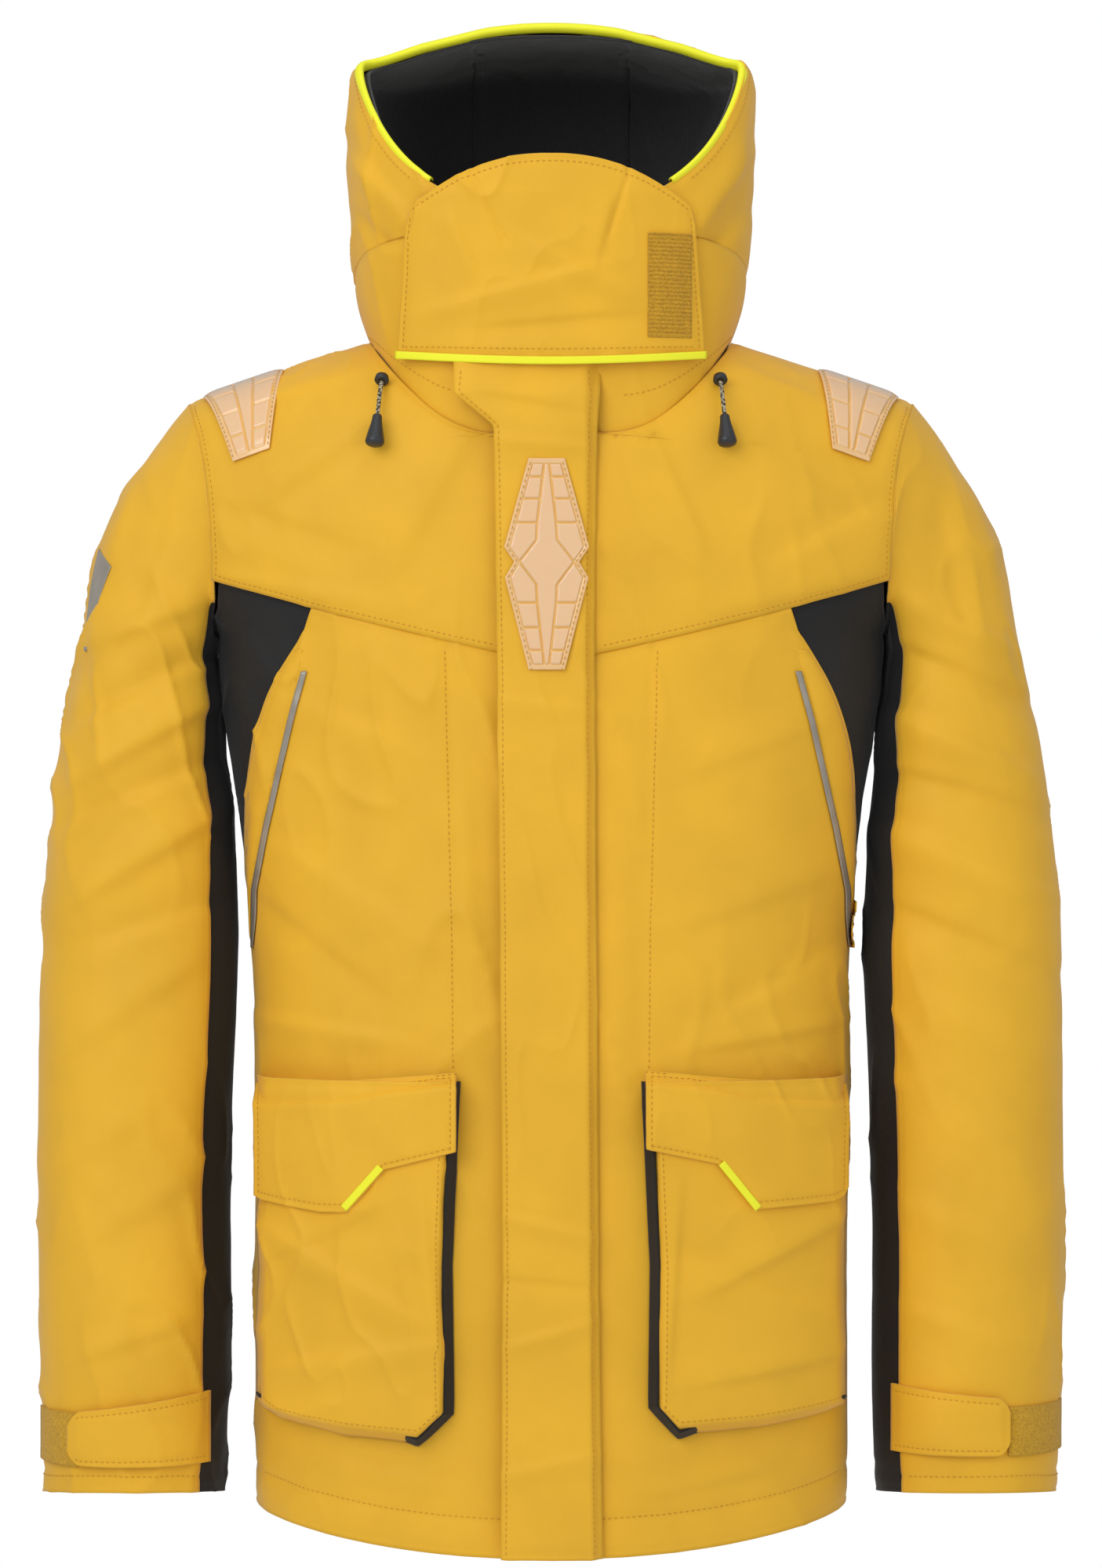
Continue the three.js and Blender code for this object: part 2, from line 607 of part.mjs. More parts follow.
// Distance from the hood's centre to its surface, at side x and a swing over the crown.
function crownRadius(x, swing, off) {
  let [near, far] = [0, 400];
  const centre = HOOD_SHOULDER;
  for (let i = 0; i < 40; i += 1) {
    const middle = (near + far) / 2;
    const y = -Math.cos(swing) * middle;
    const z = Math.sin(swing) * middle;
    const depth = (y < 0 ? HOOD_FRONT_DEPTH : HOOD_BACK_DEPTH) + off;
    const level = (Math.abs(x) / (HOOD_HALF_WIDTH + off)) ** HOOD_SIDE_POWER
      + (Math.abs(y) / depth) ** HOOD_SIDE_POWER;
    const height = Math.abs(z) / (HOOD_TOP - centre + off);
    const value = level ** (HOOD_CROWN_POWER / HOOD_SIDE_POWER) + height ** HOOD_CROWN_POWER;
    if (value > 1) far = middle;
    else near = middle;
  }
  return near;
}

function hoodCentre() {
  const front = radians(74);
  const bend = Math.PI;
  return plate(4, 14, (u, v, w) => {
    const x = lerp(-HOOD_SEAM_X + 1.5, HOOD_SEAM_X - 1.5, u);
    const off = -CLOTH * (1 - w);
    const over = Math.min(1, v / 0.7);
    const swing = lerp(front, bend, over);
    const radius = crownRadius(x, swing, off);
    const y = HOOD_CENTRE_Y - Math.cos(swing) * radius;
    const z = HOOD_SHOULDER + Math.sin(swing) * radius;
    if (v <= 0.7) return new THREE.Vector3(x, y, z);
    const share = clamp01(Math.abs(x) / HOOD_HALF_WIDTH) ** HOOD_SIDE_POWER;
    const back = HOOD_CENTRE_Y + (HOOD_BACK_DEPTH + off) * (1 - share) ** (1 / HOOD_SIDE_POWER);
    const low = collarTop(back) + GAP;
    return new THREE.Vector3(x, back, lerp(HOOD_SHOULDER, low, (v - 0.7) / 0.3));
  });
}

// Fleece inside the hood, in one shell from rim to rim.
function hoodLining() {
  const depth = CLOTH + 5;
  const top = HOOD_TOP - 2;
  return plate(16, 7, (u, v, w) => {
    const guess = lerp(NAPE_Z + 30, top, v);
    const z = crownHeight(hoodBase(lerp(rimTurn(guess), Math.PI, 1 - Math.abs(2 * u - 1))) + 1, v, top);
    const start = rimTurn(z) + radians(1);
    const turn = lerp(start, 2 * Math.PI - start, u);
    return hoodPoint(turn, z, -depth - LINING * (1 - w));
  });
}

// Neon binding round the face opening, a thin strip just outside the hood's front edge.
function hoodBinding() {
  const low = CROWN - 108;
  const high = CROWN - 6;
  const [back, front] = [0.9, -3];
  return plate(20, 1, (u, v, w) => {
    const climb = 1 - Math.abs(2 * u - 1);
    const z = lerp(low, high, Math.sin(climb * Math.PI / 2));
    const rim = hoodPoint(rimTurn(z), z, 0);
    rim.x = Math.abs(u - 0.5) < 1e-6 ? 0 : Math.sign(u - 0.5) * rim.x;
    const away = new THREE.Vector2(rim.x, rim.z - HOOD_SHOULDER).normalize();
    away.multiplyScalar(1.2 + w);
    const along = lerp(back, front, v);
    return new THREE.Vector3(rim.x + away.x, rim.y + along - 3, rim.z + away.y - along * 0.8);
  });
}

// ---- Face guard ------------------------------------------------------------------------

const GUARD_HALF_WIDTH = HOOD_HALF_WIDTH - 40;
const GUARD_BOTTOM = FRONT_LENGTH + 46;
const GUARD_REST = 5;

// Front surface of the collar and chin, grown outwards by off.
function chinPoint(x, z, off) {
  const share = clamp01(Math.abs(x) / (HOOD_HALF_WIDTH + off)) ** HOOD_SIDE_POWER;
  const lean = 12 * clamp01((CROWN - 130 - z) / 120);
  const depth = (HOOD_FRONT_DEPTH + off) * (1 - share) ** (1 / HOOD_SIDE_POWER);
  return new THREE.Vector3(x, HOOD_CENTRE_Y - depth + lean, z);
}

const guardTop = (x) => CROWN - 103 - 40 * (Math.abs(x) / GUARD_HALF_WIDTH) ** 2.4;

function faceGuard() {
  return plate(8, 3, (u, v, w) => {
    const x = lerp(-GUARD_HALF_WIDTH, GUARD_HALF_WIDTH, u);
    const z = lerp(GUARD_BOTTOM + 8 * (Math.abs(x) / GUARD_HALF_WIDTH) ** 2, guardTop(x), v);
    return chinPoint(x, z, GUARD_REST + CLOTH * w);
  });
}

function faceGuardTrim() {
  return plate(8, 1, (u, v, w) => {
    const x = lerp(-GUARD_HALF_WIDTH + 4, GUARD_HALF_WIDTH - 4, u);
    const low = GUARD_BOTTOM + 8 * (Math.abs(x) / GUARD_HALF_WIDTH) ** 2 + 1;
    return chinPoint(x, low + 5 * v, GUARD_REST + CLOTH + GAP + 0.6 * w);
  });
}

function faceGuardPatch() {
  return plate(2, 2, (u, v, w) => {
    const x = lerp(68, 99, u);
    const z = lerp(GUARD_BOTTOM + 17, GUARD_BOTTOM + 82, v);
    return chinPoint(x, z, GUARD_REST + CLOTH + GAP + 0.8 * w);
  });
}

// ---- Sleeves ---------------------------------------------------------------------------

const UNDER_TURN = radians(43); // half the black strip, measured from the inner line

function sleeveUpper() {
  const edge = Math.PI - UNDER_TURN - 4 * SEAM_ANGLE;
  return plate(14, 12, (u, v, w) => sleevePoint(1 - v, lerp(-edge, edge, u), -CLOTH * (1 - w)));
}

function sleeveUnder() {
  const edge = UNDER_TURN - 4 * SEAM_ANGLE;
  return plate(6, 12, (u, v, w) => sleevePoint(
    1 - v, Math.PI + lerp(-edge, edge, u), -CLOTH * (1 - w),
  ));
}

// Inner cuff: a short tube inside the end of the sleeve.
function cuffSeal() {
  return plate(16, 1, (u, v, w) => {
    const turn = lerp(SEAM_ANGLE * 4, 2 * Math.PI - SEAM_ANGLE * 4, u);
    return sleevePoint(lerp(0.985, 0.86, v), turn, -9 - LINING * (1 - w));
  });
}

const STRAP_LOW = CUFF_HEIGHT + 26;
const STRAP_HIGH = CUFF_HEIGHT + 66;

// A plate on the front of the sleeve, between two sides and two heights.
function sleeveFrontPlate(columns, left, right, low, high, rest, thick) {
  const centreX = sleeveOuterX - SLEEVE_WIDTH / 2;
  return plate(columns, 1, (u, v, w) => {
    const x = lerp(left, right, u);
    const share = clamp01(Math.abs(x - centreX) / (SLEEVE_WIDTH / 2 + rest));
    const depth = SLEEVE_DEPTH / 2 * (1 - share ** SLEEVE_POWER) ** (1 / SLEEVE_POWER);
    return new THREE.Vector3(x, -depth - rest - w * thick, lerp(low(u), high(u), v));
  });
}

const strapHinge = sleeveInnerX + 10;

function cuffStrap() {
  const tip = sleeveOuterX - 34;
  return sleeveFrontPlate(6, strapHinge, tip, (u) => lerp(STRAP_LOW, STRAP_LOW + 2, u),
    (u) => lerp(STRAP_HIGH + 8, STRAP_HIGH - 4, u), 3.5, CLOTH);
}

function cuffLoopPatch() {
  return sleeveFrontPlate(4, sleeveOuterX - 62, sleeveOuterX - 8, straight(STRAP_LOW + 3),
    straight(STRAP_HIGH - 6), 1.2, 0.8);
}

// ---- Small parts -----------------------------------------------------------------------

const CORD_RADIUS = 1.5;
const CORD_X = 119;
const cordRoute = [
  [CORD_X, -116, NECK_POINT - 36], [CORD_X + 1, -125, NECK_POINT - 47],
  [CORD_X + 2, -131, NECK_POINT - 60],
].map(([x, y, z]) => new THREE.Vector3(x, y, z));

// A round bar or cone between two points.
function bar(from, to, fromRadius, toRadius, sides) {
  const along = to.clone().sub(from);
  const geometry = new THREE.CylinderGeometry(toRadius, fromRadius, along.length(), sides);
  const turn = new THREE.Quaternion().setFromUnitVectors(
    new THREE.Vector3(0, 1, 0), along.clone().normalize(),
  );
  geometry.applyQuaternion(turn);
  geometry.translate(...from.clone().add(to).multiplyScalar(0.5).toArray());
  return closed(geometry);
}

function drawcord() {
  const curve = new THREE.CatmullRomCurve3(cordRoute);
  const section = new THREE.Shape();
  for (let i = 0; i < 8; i += 1) {
    const turn = i * Math.PI / 4;
    const spot = [CORD_RADIUS * Math.cos(turn), CORD_RADIUS * Math.sin(turn)];
    if (i === 0) section.moveTo(...spot);
    else section.lineTo(...spot);
  }
  section.closePath();
  const settings = { steps: 5, bevelEnabled: false, extrudePath: curve };
  return closed(new THREE.ExtrudeGeometry(section, settings));
}

const cordStart = cordRoute[0];
const cordStop = cordRoute[cordRoute.length - 1];
const cordDown = cordStop.clone().sub(cordRoute[1]).normalize();
const cordUp = cordRoute[1].clone().sub(cordStart).normalize();

function cordExit() {
  const face = cordStart.clone().addScaledVector(cordUp, -0.4);
  return bar(face.clone().addScaledVector(cordUp, -5), face, 4, 3.2, 10);
}

function cordEnd() {
  const top = cordStop.clone().addScaledVector(cordDown, 0.4);
  return bar(top, top.clone().addScaledVector(cordDown, 22), 3, 5.5, 10);
}

// Soft pad over the shoulder ridge, front and back.
function shoulderPad() {
  return plate(3, 10, (u, v, w) => {
    const swing = 2 * v - 1;
    const wide = lerp(14, 29, Math.min(1, (1 - Math.abs(swing)) * 3));
    const x = lerp(ARMHOLE_HALF_WIDTH - 24 - wide, ARMHOLE_HALF_WIDTH - 24 + wide, u)
      - 8 * Math.abs(swing);
    const off = 2 + 1.5 * w;
    const ridge = shoulderHeight(x) + off;
    const z = ridge - 1e-4 - 62 * (1 - Math.cos(swing * Math.PI / 2));
    return new THREE.Vector3(x, Math.sign(swing) * bodyDepth(x, z, off), z);
  });
}

function hangerLoop() {
  const curve = new THREE.CatmullRomCurve3([
    [-24, NAPE_Y - 6, NAPE_Z - 16], [-15, NAPE_Y - 9, NAPE_Z - 5], [0, NAPE_Y - 12, NAPE_Z],
    [15, NAPE_Y - 9, NAPE_Z - 5], [24, NAPE_Y - 6, NAPE_Z - 16],
  ].map(([x, y, z]) => new THREE.Vector3(x, y, z)));
  const section = new THREE.Shape();
  section.moveTo(-0.8, -4);
  section.lineTo(0.8, -4);
  section.lineTo(0.8, 4);
  section.lineTo(-0.8, 4);
  const settings = { steps: 8, bevelEnabled: false, extrudePath: curve };
  return closed(new THREE.ExtrudeGeometry(section, settings));
}

function sleeveReflector() {
  return plate(2, 2, (u, v, w) => {
    const turn = radians(lerp(48, 66, lerp(0.5, u, 1 - v)));
    return sleevePoint(lerp(0.17, 0.28, v), turn, 1 + 0.6 * w);
  });
}

// ---- Assembly --------------------------------------------------------------------------

addPair('front_panel', frontPanel(), yellowShell);
addPair('side_panel', sidePanel(), blackShell);
add('back_panel', backPanel(), yellowShell);
addPair('yoke', yoke(), yellowShell);
add('body_lining', bodyLining(), blackShell);
add('collar_shell', collarWall(-CLOTH, CLOTH, 20), yellowShell);
add('collar_lining', collarWall(-CLOTH - 5 * GAP - LINING, LINING, 20), fleece);
add('hanger_loop', hangerLoop(), blackShell);
addPair('zip_tape', zipTape(), zipCoil);
add('zip_slider', zipSlider(), mouldedPlastic);
add('zip_puller', zipPuller(), mouldedPlastic);
add('inner_storm_guard', stormGuard(), yellowShell);
add('storm_flap', frontSlab(stormFlapOutline, FLAP_BACK - FLAP_CLOTH, FLAP_CLOTH), yellowShell);
add('storm_flap_hook_tape', block(flapFreeX + 8, flapFreeX + 22, FLAP_BACK + GAP,
  FLAP_BACK + GAP + 0.8, 30, FRONT_LENGTH - 40), hookTape);
add('centre_pad', frontSlab(padOutline(-3, FRONT_LENGTH - 96, 73),
  FLAP_BACK - FLAP_CLOTH - GAP - 1.5, 1.5), softPvc);
addPair('shoulder_pad', shoulderPad(), softPvc);
addPair('pocket_bag', pocketBag(), yellowShell);
addPair('pocket_floor', pocketFloor(), yellowShell);
addPair('pocket_flap', pocketFlap(), yellowShell);
addPair('pocket_flap_trim', pocketFlapTrim(), neonTrim);
addPair('pocket_loop_patch', pocketLoopPatch(), hookTape);
addPair('hand_pocket_welt', handPocketWelt(), blackShell);
addPair('reflective_stripe', reflectiveStripe(), reflectiveTape);
addPair('sleeve_upper', sleeveUpper(), yellowShell);
addPair('sleeve_under', sleeveUnder(), blackShell);
addPair('cuff_seal', cuffSeal(), innerCuff);
addPair('cuff_strap', cuffStrap(), yellowShell);
addPair('cuff_loop_patch', cuffLoopPatch(), hookTape);
add('sleeve_reflector', mirrored(sleeveReflector()), reflectiveTape);
add('hood_centre', hoodCentre(), yellowShell);
addPair('hood_side', hoodSide(), yellowShell);
add('hood_lining', hoodLining(), fleece);
add('hood_binding', hoodBinding(), neonTrim);
add('face_guard', faceGuard(), yellowShell);
add('face_guard_trim', faceGuardTrim(), neonTrim);
add('face_guard_patch', faceGuardPatch(), hookTape);
addPair('cord_exit', cordExit(), mouldedPlastic);
addPair('drawcord', drawcord(), cordBraid);
addPair('cord_end', cordEnd(), mouldedPlastic);

// The jacket hangs by its loop, so the loop's top is the origin.
garment.position.set(0, -(NAPE_Y - 12), -NAPE_Z);

export default jacket;
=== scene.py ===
import json
import math

import bmesh
import bpy
from mathutils import Matrix, Vector, noise
from mathutils.bvhtree import BVHTree


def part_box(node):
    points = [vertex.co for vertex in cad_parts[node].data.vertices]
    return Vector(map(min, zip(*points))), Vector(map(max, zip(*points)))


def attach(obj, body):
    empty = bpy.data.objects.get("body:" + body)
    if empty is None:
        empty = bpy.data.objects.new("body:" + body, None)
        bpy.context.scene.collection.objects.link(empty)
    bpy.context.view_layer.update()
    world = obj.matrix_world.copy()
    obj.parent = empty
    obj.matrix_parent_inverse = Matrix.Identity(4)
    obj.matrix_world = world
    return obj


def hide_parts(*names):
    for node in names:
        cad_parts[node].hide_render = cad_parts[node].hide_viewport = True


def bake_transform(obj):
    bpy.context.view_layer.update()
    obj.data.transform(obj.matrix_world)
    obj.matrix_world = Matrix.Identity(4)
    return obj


bl_info = {
    "name": "Foul Weather Jacket",
    "version": (1, 0, 0),
    "blender": (4, 5, 0),
    "location": "View3D > Sidebar > Jacket",
    "description": "Sews the cloth, trim and hardware of an offshore jacket round its packed frame",
    "category": "Object",
}

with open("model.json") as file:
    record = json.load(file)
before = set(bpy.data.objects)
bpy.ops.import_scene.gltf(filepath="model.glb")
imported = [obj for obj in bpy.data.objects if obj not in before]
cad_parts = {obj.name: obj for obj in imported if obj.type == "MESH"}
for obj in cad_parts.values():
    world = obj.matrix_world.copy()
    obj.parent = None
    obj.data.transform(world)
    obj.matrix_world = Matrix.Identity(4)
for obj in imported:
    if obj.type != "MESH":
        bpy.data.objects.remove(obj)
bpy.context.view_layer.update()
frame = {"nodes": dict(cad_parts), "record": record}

# ---- Frame: the jacket hangs by its loop, so the hem and the middle come from the CAD ----

front_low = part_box("front_panel_left")[0]
back_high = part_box("back_panel")[1]
BODY_Y = (front_low.y + back_high.y) / 2
HEM_Z = front_low.z
FRONT_DEPTH = (back_high.y - front_low.y) / 2
TRUNK = "trunk"

# ---- Body form, in metres above the hem and from the middle of the body -----------------

HALF_WIDTH = 0.215
HEM_RISE = 0.024
UNDERARM = 0.645
ARMHOLE_X = 0.241
SHOULDER_FLARE = 0.021
NECK_X = 0.130
NECK_POINT = 0.860
SHOULDER_SLOPE = 0.33
SHOULDER_START = 0.700
CHEST_FORM_X = 0.300
ZIP_EDGE = 0.009
BODY_POWER = 2.5
SHOULDER_POWER = 3.0
NECK_POWER = 3.7
CLOTH = 0.0014


def clamp(value, low=0.0, high=1.0):
    return max(low, min(high, value))


def lerp(a, b, t):
    return a + (b - a) * t


def smooth(t):
    t = clamp(t)
    return t * t * (3 - 2 * t)


def power(value, exponent):
    return math.copysign(abs(value) ** exponent, value)


def track(stops, value):
    """Value of a smooth line through (place, value) stops, held level past its ends."""
    if value <= stops[0][0]:
        return stops[0][1]
    for (a, low), (b, high) in zip(stops, stops[1:]):
        if value <= b:
            return lerp(low, high, (value - a) / (b - a))
    return stops[-1][1]


WAIST_LINE = [(0.380, 0.2150), (0.450, 0.2195), (0.500, 0.2240), (0.530, 0.2275), (0.570, 0.2350),
              (0.610, 0.2412), (0.645, 0.2445)]


def body_half_width(z):
    """The body widens under the arms, where the sleeves rest on it."""
    rise = smooth((z - (UNDERARM - 0.175)) / 0.260) ** 4
    return max(HALF_WIDTH + (CHEST_FORM_X - HALF_WIDTH) * rise, track(WAIST_LINE, z))


def shoulder_height(x):
    return NECK_POINT + (NECK_X - abs(x)) * SHOULDER_SLOPE


def body_depth(x, z, off=0.0):
    """Depth of the body form at (x, z), grown outwards by off."""
    across = clamp(abs(x) / (body_half_width(z) + off))
    rise = clamp((z - SHOULDER_START) / (shoulder_height(x) + off - SHOULDER_START))
    side = (1 - across ** BODY_POWER) ** (1 / BODY_POWER)
    return (FRONT_DEPTH + off) * side * (1 - rise ** SHOULDER_POWER) ** (1 / SHOULDER_POWER)


def body_top(x, y):
    side = (1 - (abs(x) / CHEST_FORM_X) ** BODY_POWER) ** (1 / BODY_POWER)
    across = clamp(abs(y) / (FRONT_DEPTH * side))
    rise = (1 - across ** SHOULDER_POWER) ** (1 / SHOULDER_POWER)
    return lerp(SHOULDER_START, shoulder_height(x), rise)


def body_point(turn, z, off=0.0):
    """Point at a turn round the body: 0 is the centre front, a quarter turn the wearer's left."""
    x = (body_half_width(z) + off) * power(math.sin(turn), 2 / BODY_POWER)
    y = -(FRONT_DEPTH + off) * power(math.cos(turn), 2 / BODY_POWER)
    return Vector((x, y, z))


def front_point(x, z, off=0.0):
    return Vector((x, -body_depth(x, z, off), z))


def turn_at(x, z):
    return math.asin(clamp(x / body_half_width(z)) ** (BODY_POWER / 2))


def hem_height(x):
    return HEM_RISE * (min(abs(x), HALF_WIDTH) / HALF_WIDTH) ** 2


def yoke_seam(x):
    return UNDERARM - 0.019 + 0.2 * abs(x) + 0.2 * x * x


def armhole_x(z):
    return ARMHOLE_X + SHOULDER_FLARE * clamp((z - UNDERARM) / 0.173) ** 4


def side_front_turn(z):
    rise = clamp((z - 0.400) / (UNDERARM + 0.021 - 0.400))
    return math.radians(90 - 54.5 * rise ** 1.5)


def side_back_turn(z):
    return math.radians(180 - lerp(66, 35.5, smooth(z / (UNDERARM + 0.021))))


SIDE_SEAM_X = body_point(side_front_turn(UNDERARM + 0.021), UNDERARM + 0.021).x
SIDE_SEAM_TOP = yoke_seam(SIDE_SEAM_X)


def neckline(turn, inset=0.0):
    depth = FRONT_DEPTH - inset - (0.004 if math.cos(turn) > 0 else 0.017)
    x = (NECK_X - inset) * power(math.sin(turn), 2 / NECK_POWER)
    y = -depth * power(math.cos(turn), 2 / NECK_POWER)
    return Vector((x, y, body_top(x, y)))


# ---- Sleeve form: outer and inner lines of the wearer's left sleeve ----------------------

SLEEVE_DEPTH = 0.150
SLEEVE_POWER = 2.2
CUFF_Z = 0.034
OUTER_LINE = [(0.265, 0.817), (0.292, 0.782), (0.318, 0.735), (0.332, 0.692), (0.340, 0.645),
              (0.352, 0.590), (0.359, 0.545), (0.367, 0.470), (0.370, 0.410), (0.372, 0.300),
              (0.372, 0.180), (0.370, 0.110), (0.368, CUFF_Z)]
INNER_LINE = [(0.244, 0.648), (0.2415, 0.632), (0.2395, 0.612), (0.2370, 0.590), (0.2345, 0.565),
              (0.2315, 0.530), (0.2285, 0.500), (0.2255, 0.450), (0.2255, 0.400), (0.2305, 0.290),
              (0.2310, 0.175), (0.2315, 0.105), (0.2340, CUFF_Z)]


def line_point(line, t):
    """Smooth point at t along a line of (x, z) stops that are evenly spaced in t."""
    place = clamp(t) * (len(line) - 1)
    i = min(int(place), len(line) - 2)
    k = place - i
    stops = [Vector(line[clamp(j, 0, len(line) - 1)]) for j in (i - 1, i, i + 1, i + 2)]
    a, b, c, d = stops
    return 0.5 * ((2 * b) + (c - a) * k + (2 * a - 5 * b + 4 * c - d) * k * k
                  + (3 * b - a - 3 * c + d) * k ** 3)


def sleeve_point(t, turn, off=0.0):
    """Point on the sleeve at t along it; turn 0 is the outer line, positive to the front."""
    outer = line_point(OUTER_LINE, t)
    inner = line_point(INNER_LINE, t)
    centre = (outer + inner) / 2
    half = (outer - inner) / 2
    half = half.normalized() * (half.length + off)
    swing = power(math.cos(turn), 2 / SLEEVE_POWER)
    reach = power(math.sin(turn), 2 / SLEEVE_POWER)
    point = Vector((centre.x + half.x * swing, -(SLEEVE_DEPTH / 2 + off) * reach,
                    centre.y + half.y * swing))
    point.z += (0.009 * reach - 0.006) * smooth((t - 0.8) / 0.2)
    z = lerp(UNDERARM + 0.003, NECK_POINT - 0.043, 0.5 + 0.5 * math.cos(turn))
    x = armhole_x(z)
    hole = Vector((x + 0.0006, -math.copysign(body_depth(x, z), math.sin(turn)), z))
    hole.y *= 1 + off / (SLEEVE_DEPTH / 2)
    hole.z += off * math.cos(turn)
    return hole.lerp(point, smooth(t / 0.2))


# ---- Hood form ----------------------------------------------------------------------------

HOOD_X = 0.146
HOOD_FRONT = 0.120
HOOD_BACK = 0.140
HOOD_Y = -0.030
HOOD_SHOULDER = 0.935
HOOD_TOP = 1.084
HOOD_SIDE_POWER = 2.5
HOOD_CROWN_POWER = 9.0
CROWN_DROP = 0.032
HOOD_SEAM_X = 0.052
NAPE_Z = 0.870


def hood_scale(z):
    rise = clamp((z - HOOD_SHOULDER) / (HOOD_TOP - HOOD_SHOULDER))
    return (1 - rise ** HOOD_CROWN_POWER) ** (1 / HOOD_CROWN_POWER)


def neck_taper(z):
    return 1 - 0.11 * clamp((HOOD_SHOULDER + 0.025 - z) / 0.100) ** 2


def crown_drop(x, z):
    """The crown falls away to both sides."""
    rise = clamp((z - HOOD_SHOULDER) / (HOOD_TOP - HOOD_SHOULDER))
    return CROWN_DROP * (x / 0.136) ** 2 * rise ** 8


def hood_point(turn, z, off=0.0):
    scale = hood_scale(z)
    rise = clamp((z - HOOD_SHOULDER) / (HOOD_TOP - HOOD_SHOULDER))
    depth = HOOD_FRONT if math.cos(turn) > 0 else HOOD_BACK
    x = (HOOD_X * neck_taper(z) + off) * scale * power(math.sin(turn), 2 / HOOD_SIDE_POWER)
    y = (depth + off) * scale * power(math.cos(turn), 2 / HOOD_SIDE_POWER)
    return Vector((x, HOOD_Y - y, z + off * rise - crown_drop(x, z)))


def rim_y(z):
    """The face opening leans back as it rises."""
    return -0.129 + 0.62 * (z - 0.974)


def rim_turn(z):
    reach = (HOOD_Y - rim_y(z)) / (HOOD_FRONT * max(hood_scale(z), 1e-6))
    return math.acos(clamp(reach) ** (HOOD_SIDE_POWER / 2))


def seam_turn(z, behind):
    share = clamp(HOOD_SEAM_X / (HOOD_X * neck_taper(z) * max(hood_scale(z), 1e-6)))
    turn = math.asin(share ** (HOOD_SIDE_POWER / 2))
    return math.pi - turn if behind else turn


def collar_top(y):
    return NAPE_Z + (HOOD_Y + HOOD_BACK - y) * 0.23


def collar_edge(turn, off=0.0):
    level = hood_point(turn, NAPE_Z, off)
    return hood_point(turn, collar_top(level.y), off)


def crown_stops(count=400):
    """Heights up the crown, evenly spaced along its side profile."""
    stops = [(0.0, HOOD_SHOULDER)]
    last = Vector((HOOD_X, HOOD_SHOULDER))
    for i in range(1, count):
        swing = (i / count) ** 2 * math.pi / 2
        rise = math.sin(swing) ** (2 / HOOD_CROWN_POWER)
        z = HOOD_SHOULDER + (HOOD_TOP - HOOD_SHOULDER) * rise
        if HOOD_X * hood_scale(z) < HOOD_SEAM_X + 0.0005:
            break
        here = Vector((HOOD_X * hood_scale(z), z))
        stops.append((stops[-1][0] + (here - last).length, z))
        last = here
    whole = stops[-1][0]
    return [(reach / whole, z) for reach, z in stops]


CROWN_STOPS = crown_stops()


def chin_point(x, z, off=0.0):
    """Front of the collar and chin."""
    share = clamp(abs(x) / (HOOD_X + off)) ** HOOD_SIDE_POWER
    lean = 0.012 * clamp((0.952 - z) / 0.120)
    depth = (HOOD_FRONT + off) * (1 - share) ** (1 / HOOD_SIDE_POWER)
    return Vector((x, HOOD_Y - depth + lean, z))


# ---- Folds in the cloth -------------------------------------------------------------------

# Each fold runs from (x, z) to (x, z), with its height and half width.
FRONT_FOLDS = [
    (-0.112, 0.806, -0.205, 0.742, 0.0030, 0.018), (-0.060, 0.788, -0.108, 0.700, 0.0024, 0.020),
    (-0.128, 0.835, -0.200, 0.815, 0.0020, 0.010), (-0.225, 0.735, -0.140, 0.705, -0.0022, 0.016),
    (-0.238, 0.690, -0.120, 0.668, 0.0020, 0.012), (-0.190, 0.600, -0.090, 0.560, 0.0022, 0.018),
    (-0.200, 0.500, -0.085, 0.430, 0.0026, 0.020), (-0.212, 0.460, -0.120, 0.392, -0.0022, 0.014),
    (-0.205, 0.375, -0.110, 0.362, 0.0024, 0.010), (-0.060, 0.520, -0.052, 0.360, 0.0022, 0.012),
    (0.112, 0.800, 0.200, 0.735, 0.0030, 0.018), (0.058, 0.786, 0.112, 0.695, 0.0024, 0.020),
    (0.128, 0.838, 0.190, 0.812, 0.0020, 0.010), (0.228, 0.742, 0.150, 0.700, -0.0022, 0.016),
    (0.232, 0.690, 0.120, 0.664, 0.0020, 0.012), (0.185, 0.585, 0.085, 0.548, 0.0022, 0.018),
    (0.200, 0.480, 0.090, 0.445, 0.0024, 0.018), (0.208, 0.430, 0.110, 0.380, -0.0022, 0.014),
    (0.052, 0.500, 0.050, 0.350, 0.0020, 0.012), (0.205, 0.372, 0.105, 0.358, 0.0022, 0.010),
    (-0.160, 0.064, -0.070, 0.050, 0.0020, 0.010), (0.150, 0.062, 0.070, 0.046, 0.0020, 0.010),
]
